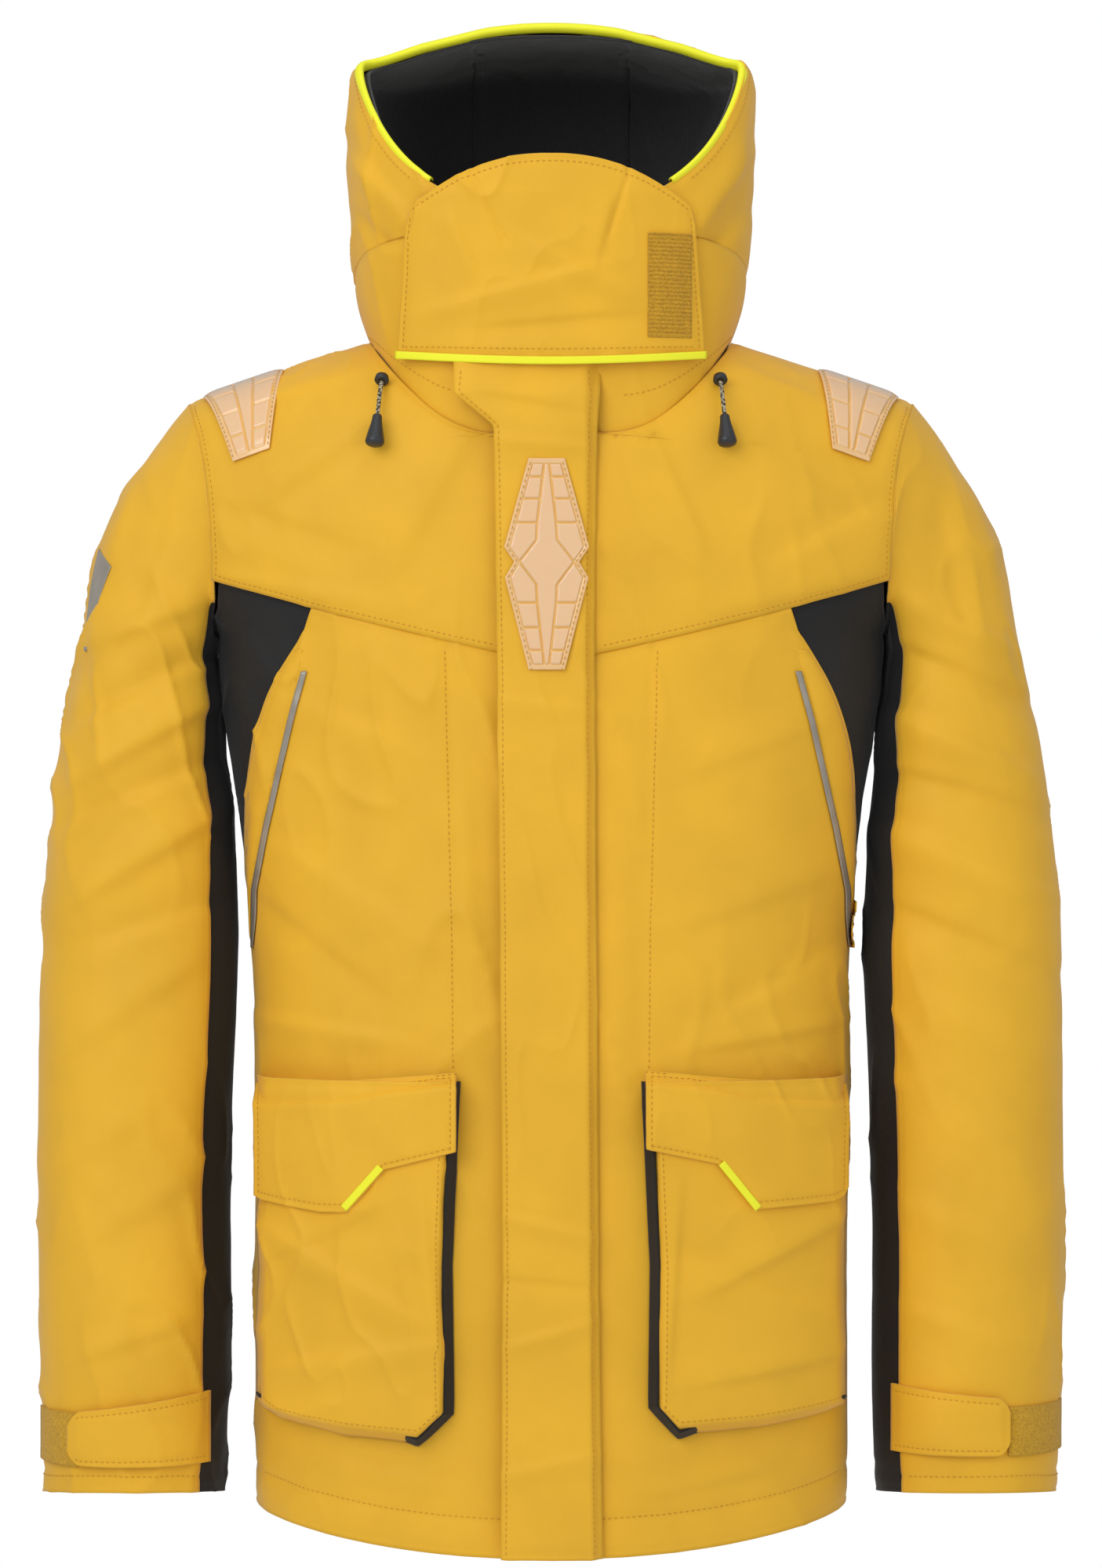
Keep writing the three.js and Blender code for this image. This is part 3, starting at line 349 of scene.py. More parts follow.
SLEEVE_FOLDS = [
    (-0.258, 0.668, -0.335, 0.640, 0.0040, 0.014), (-0.250, 0.632, -0.340, 0.588, -0.0045, 0.012),
    (-0.246, 0.600, -0.345, 0.540, 0.0055, 0.015), (-0.248, 0.556, -0.352, 0.512, -0.0040, 0.012),
    (-0.244, 0.520, -0.350, 0.452, 0.0055, 0.018), (-0.250, 0.455, -0.362, 0.420, -0.0035, 0.014),
    (-0.262, 0.410, -0.350, 0.350, 0.0035, 0.018), (-0.300, 0.300, -0.366, 0.262, 0.0026, 0.018),
    (-0.256, 0.262, -0.330, 0.215, 0.0028, 0.016), (-0.260, 0.160, -0.340, 0.132, 0.0026, 0.012),
    (-0.300, 0.760, -0.318, 0.690, 0.0030, 0.018), (-0.276, 0.740, -0.300, 0.640, -0.0030, 0.016),
    (0.256, 0.672, 0.330, 0.636, 0.0040, 0.014), (0.250, 0.636, 0.345, 0.600, -0.0040, 0.012),
    (0.246, 0.590, 0.340, 0.548, 0.0050, 0.015), (0.248, 0.548, 0.356, 0.520, -0.0036, 0.012),
    (0.246, 0.505, 0.352, 0.462, 0.0052, 0.017), (0.250, 0.450, 0.364, 0.405, -0.0036, 0.014),
    (0.270, 0.385, 0.352, 0.345, 0.0032, 0.018), (0.300, 0.300, 0.366, 0.238, 0.0026, 0.018),
    (0.258, 0.240, 0.336, 0.205, 0.0026, 0.016), (0.262, 0.165, 0.345, 0.140, 0.0026, 0.012),
    (0.302, 0.752, 0.322, 0.680, 0.0030, 0.018), (0.278, 0.735, 0.296, 0.640, -0.0030, 0.016),
]
HOOD_FOLDS = [
    (-0.140, 0.985, -0.095, 0.930, 0.0040, 0.012), (-0.138, 0.945, -0.092, 0.895, -0.0034, 0.011),
    (-0.132, 0.905, -0.100, 0.862, 0.0034, 0.010), (-0.140, 1.020, -0.125, 0.960, 0.0022, 0.010),
    (0.140, 0.990, 0.100, 0.925, 0.0040, 0.012), (0.140, 0.950, 0.096, 0.890, -0.0036, 0.011),
    (0.132, 0.900, 0.102, 0.858, 0.0034, 0.010), (0.140, 1.030, 0.128, 0.965, 0.0022, 0.010),
]
GUARD_FOLDS = [
    (-0.080, 0.872, 0.030, 0.900, 0.0030, 0.011), (-0.040, 0.858, 0.052, 0.866, -0.0022, 0.009),
    (-0.010, 0.915, 0.060, 0.880, 0.0026, 0.010), (-0.070, 0.935, -0.050, 0.890, 0.0022, 0.009),
    (0.040, 0.945, 0.030, 0.905, 0.0022, 0.009),
]
FLAP_FOLDS = [
    (-0.034, 0.782, 0.024, 0.776, 0.0022, 0.007), (-0.050, 0.812, 0.020, 0.800, -0.0016, 0.008),
    (-0.034, 0.600, 0.024, 0.592, 0.0016, 0.009), (-0.030, 0.240, 0.028, 0.226, 0.0024, 0.008),
    (-0.034, 0.196, 0.030, 0.190, -0.0016, 0.007), (-0.030, 0.150, 0.026, 0.166, 0.0022, 0.008),
    (-0.034, 0.060, 0.030, 0.074, 0.0018, 0.009),
]
POCKET_FOLDS = [
    (-0.205, 0.230, -0.100, 0.170, 0.0036, 0.014), (-0.200, 0.200, -0.120, 0.240, -0.0024, 0.012),
    (-0.190, 0.130, -0.085, 0.150, 0.0030, 0.013), (-0.090, 0.250, -0.078, 0.130, 0.0026, 0.010),
    (0.205, 0.235, 0.110, 0.190, 0.0036, 0.014), (0.185, 0.180, 0.092, 0.215, -0.0024, 0.012),
    (0.200, 0.140, 0.100, 0.125, 0.0030, 0.013), (0.088, 0.250, 0.080, 0.130, 0.0026, 0.010),
]


FOLD_DEPTH = 0.95
FOLD_WIDTH = 0.72


def fold_height(folds, point):
    """Height of every fold at a point, each a soft ridge that fades at both ends."""
    total = 0.0
    for x0, z0, x1, z1, height, width in folds:
        run_x, run_z = x1 - x0, z1 - z0
        length = run_x * run_x + run_z * run_z
        t = ((point.x - x0) * run_x + (point.z - z0) * run_z) / length
        if t < -0.3 or t > 1.3:
            continue
        away = ((point.x - x0) * run_z - (point.z - z0) * run_x) / math.sqrt(length)
        away /= width * FOLD_WIDTH * (1.35 if away > 0 else 0.6)
        if abs(away) > 3:
            continue
        fade = smooth((t + 0.3) / 0.5) * smooth((1.3 - t) / 0.6)
        total += FOLD_DEPTH * height * fade * math.exp(-away * away)
    return total * (1.0 if point.y < 0 else 0.5)


def crumple(point, amount):
    """Soft random rumples: broad waves, and sharper creases that run mostly up and down."""
    broad = noise.noise(point * 8.0 + Vector((3.1, 0, 0)))
    slant = Vector((point.x * 26 + point.z * 7, point.y * 20, point.z * 11 - point.x * 5))
    crease = 1 - abs(noise.noise(slant))
    fine = noise.noise(point * 60.0)
    slack = noise.noise(Vector((point.x * 5, point.y * 5, point.z * 4)))
    crisp = smooth(0.5 + slack) * (crease ** 9 - 0.16)
    return amount * (0.0017 * broad + 0.0030 * crisp + 0.0002 * fine)


# ---- Finishes -------------------------------------------------------------------------------


def new_finish(name):
    finish = bpy.data.materials.new(name)
    finish.use_nodes = True
    tree = finish.node_tree
    shader = tree.nodes["Principled BSDF"]
    place = tree.nodes.new("ShaderNodeTexCoord")
    return finish, tree, shader, place.outputs["Object"]


def noise_node(tree, place, scale, detail=2.0):
    node = tree.nodes.new("ShaderNodeTexNoise")
    node.inputs["Scale"].default_value = scale
    node.inputs["Detail"].default_value = detail
    tree.links.new(place, node.inputs["Vector"])
    return node.outputs["Fac"]


def wave_node(tree, place, scale, axis):
    node = tree.nodes.new("ShaderNodeTexWave")
    node.bands_direction = axis
    node.inputs["Scale"].default_value = scale
    node.inputs["Distortion"].default_value = 0.4
    tree.links.new(place, node.inputs["Vector"])
    return node.outputs["Fac"]


def mix_colour(tree, factor, dark, light):
    ramp = tree.nodes.new("ShaderNodeValToRGB")
    ramp.color_ramp.elements[0].color = (*dark, 1)
    ramp.color_ramp.elements[1].color = (*light, 1)
    ramp.color_ramp.elements[0].position = 0.3
    ramp.color_ramp.elements[1].position = 0.7
    tree.links.new(factor, ramp.inputs["Fac"])
    return ramp.outputs["Color"]


def join_maths(tree, operation, first, second):
    node = tree.nodes.new("ShaderNodeMath")
    node.operation = operation
    for socket, value in zip(node.inputs, (first, second)):
        if isinstance(value, (int, float)):
            socket.default_value = value
        else:
            tree.links.new(value, socket)
    return node.outputs["Value"]


def bump(tree, height, strength, distance, before=None):
    node = tree.nodes.new("ShaderNodeBump")
    node.inputs["Strength"].default_value = strength
    node.inputs["Distance"].default_value = distance
    tree.links.new(height, node.inputs["Height"])
    if before is not None:
        tree.links.new(before, node.inputs["Normal"])
    return node.outputs["Normal"]


def woven(name, colour, shade=0.9, rough=0.6, sheen=0.15, thread=420.0, depth=0.00012):
    """Plain woven cloth: a fine crossing weave, soft handling marks and slow tone changes."""
    finish, tree, shader, place = new_finish(name)
    dark = tuple(c * shade for c in colour)
    tone = noise_node(tree, place, 16.0, 4.0)
    tree.links.new(mix_colour(tree, tone, dark, colour), shader.inputs["Base Color"])
    weave = join_maths(tree, "MULTIPLY", wave_node(tree, place, thread, "X"),
                       wave_node(tree, place, thread, "Z"))
    cross = bump(tree, weave, 0.35, depth)
    rumple = bump(tree, noise_node(tree, place, 240.0, 3.0), 0.25, 0.0003, cross)
    tree.links.new(rumple, shader.inputs["Normal"])
    rough_tone = join_maths(tree, "MULTIPLY_ADD", noise_node(tree, place, 30.0), 0.15)
    rough_tone.node.inputs[2].default_value = rough - 0.07
    tree.links.new(rough_tone, shader.inputs["Roughness"])
    shader.inputs["Sheen Weight"].default_value = sheen
    shader.inputs["Sheen Roughness"].default_value = 0.45
    shader.inputs["Specular IOR Level"].default_value = 0.35
    return finish


def brushed(name, colour, scale=900.0, height=0.0006, sheen=0.3):
    """Brushed fleece or loop pile: a matted nap."""
    finish, tree, shader, place = new_finish(name)
    nap = noise_node(tree, place, scale, 6.0)
    dark = tuple(c * 0.6 for c in colour)
    tree.links.new(mix_colour(tree, nap, dark, colour), shader.inputs["Base Color"])
    clumps = bump(tree, noise_node(tree, place, scale * 0.2, 4.0), 0.4, height * 2)
    tree.links.new(bump(tree, nap, 0.8, height, clumps), shader.inputs["Normal"])
    shader.inputs["Roughness"].default_value = 0.95
    shader.inputs["Sheen Weight"].default_value = sheen
    shader.inputs["Sheen Roughness"].default_value = 0.6
    return finish


def moulded(name, colour, rough=0.4, grain=700.0, metal=0.0):
    """Moulded plastic or metal with a fine grain and worn, smoother patches."""
    finish, tree, shader, place = new_finish(name)
    worn = noise_node(tree, place, 60.0, 3.0)
    dark = tuple(c * 0.8 for c in colour)
    tree.links.new(mix_colour(tree, worn, dark, colour), shader.inputs["Base Color"])
    skin = bump(tree, noise_node(tree, place, grain, 2.0), 0.2, 0.0001)
    tree.links.new(skin, shader.inputs["Normal"])
    level = join_maths(tree, "MULTIPLY_ADD", worn, 0.15)
    level.node.inputs[2].default_value = rough - 0.07
    tree.links.new(level, shader.inputs["Roughness"])
    shader.inputs["Metallic"].default_value = metal
    return finish


def clear_pvc(name, colour, behind):
    """Soft translucent PVC with a wet gloss: the cloth behind shows through its grooves."""
    finish, tree, shader, place = new_finish(name)
    ripple = noise_node(tree, place, 45.0, 2.0)
    cell = tree.nodes.new("ShaderNodeAttribute")
    cell.attribute_name = "cell"
    milky = join_maths(tree, "MULTIPLY_ADD", ripple, 0.5)
    tree.links.new(cell.outputs["Fac"], milky.node.inputs[2])
    groove = tuple(lerp(a, b, 0.35) for a, b in zip(behind, colour))
    ramp = mix_colour(tree, milky, groove, colour)
    ramp.node.color_ramp.elements[0].position = 0.35
    ramp.node.color_ramp.elements[1].position = 1.0
    tree.links.new(ramp, shader.inputs["Base Color"])
    tree.links.new(bump(tree, ripple, 0.5, 0.0012), shader.inputs["Normal"])
    shader.inputs["Roughness"].default_value = 0.12
    shader.inputs["Coat Weight"].default_value = 0.7
    shader.inputs["Coat Roughness"].default_value = 0.06
    shader.inputs["Subsurface Weight"].default_value = 0.2
    shader.inputs["Subsurface Radius"].default_value = (0.004, 0.002, 0.001)
    return finish


def flecked_cord(name, colour, fleck):
    """Braided cord: a twill of bumps with pale tracer threads."""
    finish, tree, shader, place = new_finish(name)
    spots = tree.nodes.new("ShaderNodeTexVoronoi")
    spots.inputs["Scale"].default_value = 620.0
    tree.links.new(place, spots.inputs["Vector"])
    tree.links.new(mix_colour(tree, spots.outputs["Distance"], fleck, colour),
                   shader.inputs["Base Color"])
    tree.links.new(bump(tree, spots.outputs["Distance"], 0.7, 0.0004), shader.inputs["Normal"])
    shader.inputs["Roughness"].default_value = 0.8
    return finish


class JacketColours(bpy.types.PropertyGroup):
    """Colours of the jacket's cloth and trim"""
    shell: bpy.props.FloatVectorProperty(
        name="Shell", description="Main shell cloth", subtype="COLOR", size=3,
        default=(0.92, 0.505, 0.024), min=0, max=1)
    black: bpy.props.FloatVectorProperty(
        name="Side panels", description="Black side and under-sleeve cloth", subtype="COLOR",
        size=3, default=(0.016, 0.016, 0.017), min=0, max=1)
    fleece: bpy.props.FloatVectorProperty(
        name="Fleece", description="Collar and hood fleece", subtype="COLOR", size=3,
        default=(0.030, 0.030, 0.031), min=0, max=1)
    lining: bpy.props.FloatVectorProperty(
        name="Inner cuff", description="Inside of the cuffs", subtype="COLOR", size=3,
        default=(0.30, 0.10, 0.008), min=0, max=1)
    neon: bpy.props.FloatVectorProperty(
        name="Neon trim", description="Hood binding and trim strips", subtype="COLOR", size=3,
        default=(1.0, 1.0, 0.03), min=0, max=1)
    silver: bpy.props.FloatVectorProperty(
        name="Reflective tape", description="Reflective stripes", subtype="COLOR", size=3,
        default=(0.42, 0.38, 0.32), min=0, max=1)
    pvc: bpy.props.FloatVectorProperty(
        name="Soft PVC", description="Centre and shoulder pads", subtype="COLOR", size=3,
        default=(0.92, 0.60, 0.34), min=0, max=1)
    plastic: bpy.props.FloatVectorProperty(
        name="Plastic", description="Cord ends, eyelets and zip", subtype="COLOR", size=3,
        default=(0.028, 0.031, 0.036), min=0, max=1)


class JacketSizes(bpy.types.PropertyGroup):
    """Sizes of the jacket's sewing and cloth"""
    rumple: bpy.props.FloatProperty(
        name="Rumple", description="How creased the cloth is", default=1.0, min=0, max=2)
    stitch_pitch: bpy.props.FloatProperty(
        name="Stitch pitch", description="From one stitch to the next", default=0.0042,
        min=0.002, max=0.01, unit="LENGTH")
    stitch_length: bpy.props.FloatProperty(
        name="Stitch length", description="Length of one stitch", default=0.0028,
        min=0.001, max=0.008, unit="LENGTH")
    cord_diameter: bpy.props.FloatProperty(
        name="Cord diameter", description="Diameter of the hood drawcords", default=0.003,
        min=0.002, max=0.005, unit="LENGTH")


FINISHES = {}


def finishes():
    """The jacket's finishes, made once."""
    if FINISHES:
        return FINISHES
    colours = bpy.context.scene.jacket_colours
    shell = tuple(colours.shell)
    FINISHES["shell_yellow"] = woven("shell_yellow", shell)
    FINISHES["shell_black"] = woven("shell_black", tuple(colours.black), 0.7, 0.7, 0.1, 330.0)
    FINISHES["fleece_black"] = brushed("fleece_black", tuple(colours.fleece))
    FINISHES["inner_cuff"] = woven("inner_cuff", tuple(colours.lining), 0.75, 0.5, 0.05)
    FINISHES["neon_trim"] = woven("neon_trim", tuple(colours.neon), 0.96, 0.5, 0.0, 600.0)
    FINISHES["reflective_tape"] = moulded("reflective_tape", tuple(colours.silver), 0.35, 900.0, 0.3)
    FINISHES["soft_pvc"] = clear_pvc("soft_pvc", tuple(colours.pvc), shell)
    FINISHES["hook_tape"] = brushed("hook_tape", tuple(c * 0.82 for c in shell), 700.0, 0.0008, 0.1)
    FINISHES["moulded_plastic"] = moulded("moulded_plastic", tuple(colours.plastic))
    FINISHES["cord_braid"] = flecked_cord("cord_braid", (0.012, 0.011, 0.01), (0.55, 0.48, 0.33))
    FINISHES["zip_coil"] = woven("zip_coil", tuple(colours.black), 0.7, 0.5, 0.0, 500.0)
    FINISHES["thread"] = woven("thread", tuple(c * 0.80 for c in shell), 0.8, 0.55, 0.2, 900.0)
    return FINISHES


# ---- Sewing: every cloth piece is a grid bent over its form ---------------------------------

SURFACES = {}


def hang(point):
    return Vector((point.x, point.y + BODY_Y, point.z + HEM_Z))


def run_length(points):
    return sum((b - a).length for a, b in zip(points, points[1:]))


def keep(bm, name, finish, body, nodes, blend=None):
    """Turns a bmesh in garment space into a finished piece that rides on its body; with a blend it is
    baked in place and rides on no body.
    """
    for vert in bm.verts:
        vert.co = hang(vert.co)
    mesh = bpy.data.meshes.new(name)
    bm.to_mesh(mesh)
    bm.free()
    piece = bpy.data.objects.new(name, mesh)
    bpy.context.collection.objects.link(piece)
    mesh.shade_smooth()
    mesh.materials.append(finishes()[finish])
    if nodes:
        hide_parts(*nodes)
    if blend:
        other, start, end = blend
        hang(Vector(start))
        hang(Vector(end))
        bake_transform(piece)
    else:
        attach(piece, body)
    return piece


def cloth(name, columns, rows, place, finish, body=TRUNK, nodes=None, heart=None, folds=(),
          rumple=1.0, thick=CLOTH, seam=0.0006, blend=None, sheet=True, dents=(), cell=None,
          rise=0.0):
    """Cuts one cloth piece: place(u, v) lays it on its form, then folds and rumples shape it."""
    bm = bmesh.new()
    bmesh.ops.create_grid(bm, x_segments=columns, y_segments=rows, size=0.5)
    cut = bm.loops.layers.uv.new("cut")
    raised = bm.verts.layers.float.new("cell") if cell else None
    share = {}
    for vert in bm.verts:
        share[vert] = (vert.co.x + 0.5, vert.co.y + 0.5)
        vert.co = place(*share[vert])
        if cell:
            vert[raised] = cell(*share[vert])
    across = run_length([place(i / 24, 0.5) for i in range(25)])
    along = max(run_length([place(u, i / 24) for i in range(25)]) for u in (0.02, 0.5, 0.98))
    across = max(across, run_length([place(i / 24, 0.03) for i in range(25)]),
                 run_length([place(i / 24, 0.97) for i in range(25)]))
    area = sum(face.calc_area() for face in bm.faces)
    for face in bm.faces:
        for loop in face.loops:
            u, v = share[loop.vert]
            loop[cut].uv = (u * across, v * along)
    bm.normal_update()
    outward = 0.0
    for face in bm.faces:
        centre = face.calc_center_median()
        inside = heart(centre) if heart else Vector((0, 0, centre.z))
        outward += face.normal.dot(centre - inside) * face.calc_area()
    if outward < 0:
        bmesh.ops.reverse_faces(bm, faces=bm.faces[:])
        bm.normal_update()
    amount = rumple * bpy.context.scene.jacket_sizes.rumple
    moves = {}
    for vert in bm.verts:
        u, v = share[vert]
        edge = min(min(u, 1 - u) * across, min(v, 1 - v) * along)
        height = crumple(vert.co, amount) + fold_height(folds, vert.co) * min(1.0, amount * 2)
        if seam:
            pucker = 0.5 + 0.5 * noise.noise(vert.co * 110.0)
            height -= seam * (1 + pucker) * math.exp(-((edge - 0.003) / 0.004) ** 2)
        for dent in dents:
            height += dent(vert.co)
        if cell:
            height += rise * cell(u, v)
        moves[vert] = vert.normal * height
    for vert, move in moves.items():
        vert.co += move
    bm.normal_update()
    SURFACES[name] = BVHTree.FromBMesh(bm)
    piece = keep(bm, name, finish, body, nodes, blend)
    wall = piece.modifiers.new("wall", "SOLIDIFY")
    wall.thickness = thick
    wall.offset = -1
    wall.use_even_offset = False
    if sheet:
        width, length = max(across, 0.011), max(along, 0.011)
        clamp(area, 0.301 * width * length, width * length)
    return piece


def mirrored(place):
    def other(u, v):
        point = place(u, v)
        return Vector((-point.x, point.y, point.z))
    return other


SIDES = (("left", 1), ("right", -1))


def sided(place, sign):
    return place if sign > 0 else mirrored(place)


STITCHES = {}


def stitch_row(surface, body, points, blend=None, lift=0.00035):
    """Lays a row of thread stitches along points on a piece's surface."""
    sizes = bpy.context.scene.jacket_sizes
    key = (body, blend)
    bm = STITCHES.setdefault(key, bmesh.new())
    tree = SURFACES[surface]
    laid = []
    for point in points:
        spot, normal, _, _ = tree.find_nearest(point)
        if spot is not None:
            laid.append((spot, normal))
    travelled = 0.0
    due = 0.0
    for (a, normal), (b, _) in zip(laid, laid[1:]):
        step = (b - a).length
        if step < 1e-7:
            continue
        along = (b - a) / step
        while due <= travelled + step:
            centre = a + along * (due - travelled)
            side = normal.cross(along).normalized()
            up = along.cross(side)
            turn = Matrix((along, side, up)).transposed().to_4x4()
            size = Matrix.Diagonal((sizes.stitch_length / 2, 0.00035, 0.0003, 1))
            at = Matrix.Translation(centre + normal * lift)
            bmesh.ops.create_icosphere(bm, subdivisions=1, radius=1.0, matrix=at @ turn @ size)
            due += sizes.stitch_pitch
        travelled += step


def finish_stitches():
    for number, ((body, blend), bm) in enumerate(sorted(STITCHES.items(), key=lambda i: str(i[0]))):
        keep(bm, f"stitching_{number}_{blend[0] if blend else body}", "thread", body, None, blend)
    STITCHES.clear()


# ---- Body panels ----------------------------------------------------------------------------

FRONT_SEAM = [(0.342, 0.065), (0.441, 0.066), (0.640, 0.071)]


def lap_seam(point):
    """The vertical seam down the front panel, a shallow step in the cloth."""
    if point.y > 0 or not 0.335 < point.z < 0.640:
        return 0.0
    away = (abs(point.x) - track(FRONT_SEAM, point.z)) / 0.003
    return -0.0011 * math.exp(-away * away)


def hem_fold(point):
    """The turned hem: a soft step above the edge."""
    away = (point.z - hem_height(point.x) - 0.027) / 0.0032
    return -0.0009 * math.exp(-away * away)


def panel_end(u, z, edge, turn):
    """Height at which column u of a panel meets the line edge(x), where turn(u, z) is its run."""
    for _ in range(6):
        z = edge(body_point(turn(u, z), z).x)
    return z


def front_turn(u, z):
    return lerp(turn_at(ZIP_EDGE, z), side_front_turn(z), u)


def front_place(u, v):
    low = panel_end(u, 0.01, hem_height, front_turn)
    high = panel_end(u, 0.65, yoke_seam, front_turn)
    z = lerp(low, high, v)
    return body_point(front_turn(u, z), z)


def side_top(turn):
    from_side = abs(turn - math.pi / 2)
    armhole = math.radians(32.8)
    past = clamp((from_side - armhole) / math.radians(21.7))
    rise = lerp(UNDERARM, UNDERARM + 0.041, min(1.0, from_side / armhole) ** 2)
    return lerp(rise, SIDE_SEAM_TOP, past)


def side_place(u, v):
    turn = lerp(side_front_turn(UNDERARM + 0.021), side_back_turn(UNDERARM + 0.021), u)
    z = lerp(HEM_RISE, side_top(turn), v)
    tuck = math.radians(2.2)
    return body_point(lerp(side_front_turn(z) - tuck, side_back_turn(z) + tuck, u), z, -0.0022)


def back_turn(u, z):
    edge = side_back_turn(z)
    return lerp(edge, 2 * math.pi - edge, u)


def back_place(u, v):
    low = panel_end(u, 0.01, hem_height, back_turn)
    high = panel_end(u, 0.65, yoke_seam, back_turn)
    z = lerp(low, high, v)
    return body_point(back_turn(u, z), z)


def yoke_place(u, v):
    front = v < 0.5
    climb = 1 - abs(2 * v - 1)
    edge = ZIP_EDGE if front else 0.0002
    neck_turn = math.pi / 2 * clamp((climb - 0.45) / 0.55)
    neck = neckline(neck_turn if front else math.pi - neck_turn)
    inner_x = max(edge, neck.x)
    inner_z = lerp(yoke_seam(edge), neck.z, min(1.0, climb / 0.45))
    swing = math.sin(climb * math.pi / 2)
    outer_z = lerp(UNDERARM + 0.041, shoulder_height(ARMHOLE_X + SHOULDER_FLARE), swing)
    x = lerp(inner_x, armhole_x(outer_z), u)
    bow = yoke_seam(x) - lerp(yoke_seam(edge), UNDERARM + 0.041, u)
    z = lerp(inner_z, outer_z, u) + bow * (1 - swing)
    return Vector((x, (-1 if front else 1) * body_depth(x, z, 0.0008), z))


def along_front(xs, height, inset=0.0):
    """Points across the front at a height that depends on x."""
    return [front_point(x, height(x) + inset, 0.001) for x in xs]


def steps(start, end, count):
    return [lerp(start, end, i / count) for i in range(count + 1)]


class JACKET_OT_body_panels(bpy.types.Operator):
    """Cut the front, side and back panels and the yokes, and sew their seams"""
    bl_idname = "jacket.body_panels"
    bl_label = "Body panels"

    def execute(self, context):
        for side, sign in SIDES:
            cloth(f"front_{side}", 78, 210, sided(front_place, sign), "shell_yellow",
                  nodes=[f"front_panel_{side}"], folds=FRONT_FOLDS, dents=(lap_seam, hem_fold))
            cloth(f"side_{side}", 64, 180, sided(side_place, sign), "shell_black",
                  nodes=[f"side_panel_{side}"], rumple=0.8, dents=(hem_fold,))
            cloth(f"yoke_{side}", 84, 170, sided(yoke_place, sign), "shell_yellow",
                  nodes=[f"yoke_{side}"], folds=FRONT_FOLDS, rumple=0.8,
                  heart=lambda p: Vector((p.x * 0.6, 0, min(p.z, 0.72))))
        cloth("back", 140, 200, back_place, "shell_yellow", nodes=["back_panel"],
              rumple=1.2, dents=(hem_fold,))
        for side, sign in SIDES:
            xs = [sign * x for x in steps(0.012, 0.206, 60)]
            stitch_row(f"front_{side}", TRUNK, along_front(xs, hem_height, 0.0275))
            seam = [sign * x for x in steps(0.038, 0.238, 60)]
            stitch_row(f"yoke_{side}", TRUNK, along_front(seam, yoke_seam, 0.0045))
            line = [front_point(sign * (track(FRONT_SEAM, z) + 0.0035), z)
                    for z in steps(0.344, 0.636, 60)]
            stitch_row(f"front_{side}", TRUNK, line)
            edge = [front_point(sign * (armhole_x(z) - 0.004), z)
                    for z in steps(0.690, 0.812, 40)]
            stitch_row(f"yoke_{side}", TRUNK, edge)
            back_seam = [Vector((x, body_depth(x, yoke_seam(x)), yoke_seam(x) + 0.0045))
                         for x in seam]
            stitch_row(f"yoke_{side}", TRUNK, back_seam)
        hem = [back_place(u, 0.045) for u in steps(0.01, 0.99, 120)]
        stitch_row("back", TRUNK, hem)
        return {"FINISHED"}


# ---- Sleeves and cuffs ----------------------------------------------------------------------

UNDER_TURN = math.radians(43)


def sleeve_bend(side, sign):
    """Name and end points of the sleeve's turn over the armhole, handed on as a blend; nothing bends
    the cloth with them.
    """
    return (f"sleeve_{side}", (0.243 * sign, 0, 0.648), (0.312 * sign, 0, 0.587))


def sleeve_heart(sign):
    def heart(point):
        t = clamp((0.80 - point.z) / 0.76)
        middle = (line_point(OUTER_LINE, t) + line_point(INNER_LINE, t)) / 2
        return Vector((sign * middle.x, 0, point.z - 0.03 * (1 - t)))
    return heart


def cuff_hem(point):
    away = (point.z - CUFF_Z - 0.012) / 0.003
    return -0.0009 * math.exp(-away * away)


def sleeve_front(x, z, off=0.0):
    """Front of the hanging sleeve at (x, z), found on its section."""
    centre = 0.302
    share = clamp(abs(abs(x) - centre) / 0.069)
    depth = SLEEVE_DEPTH / 2 * (1 - share ** SLEEVE_POWER) ** (1 / SLEEVE_POWER)
    return Vector((x, -depth - off, z))


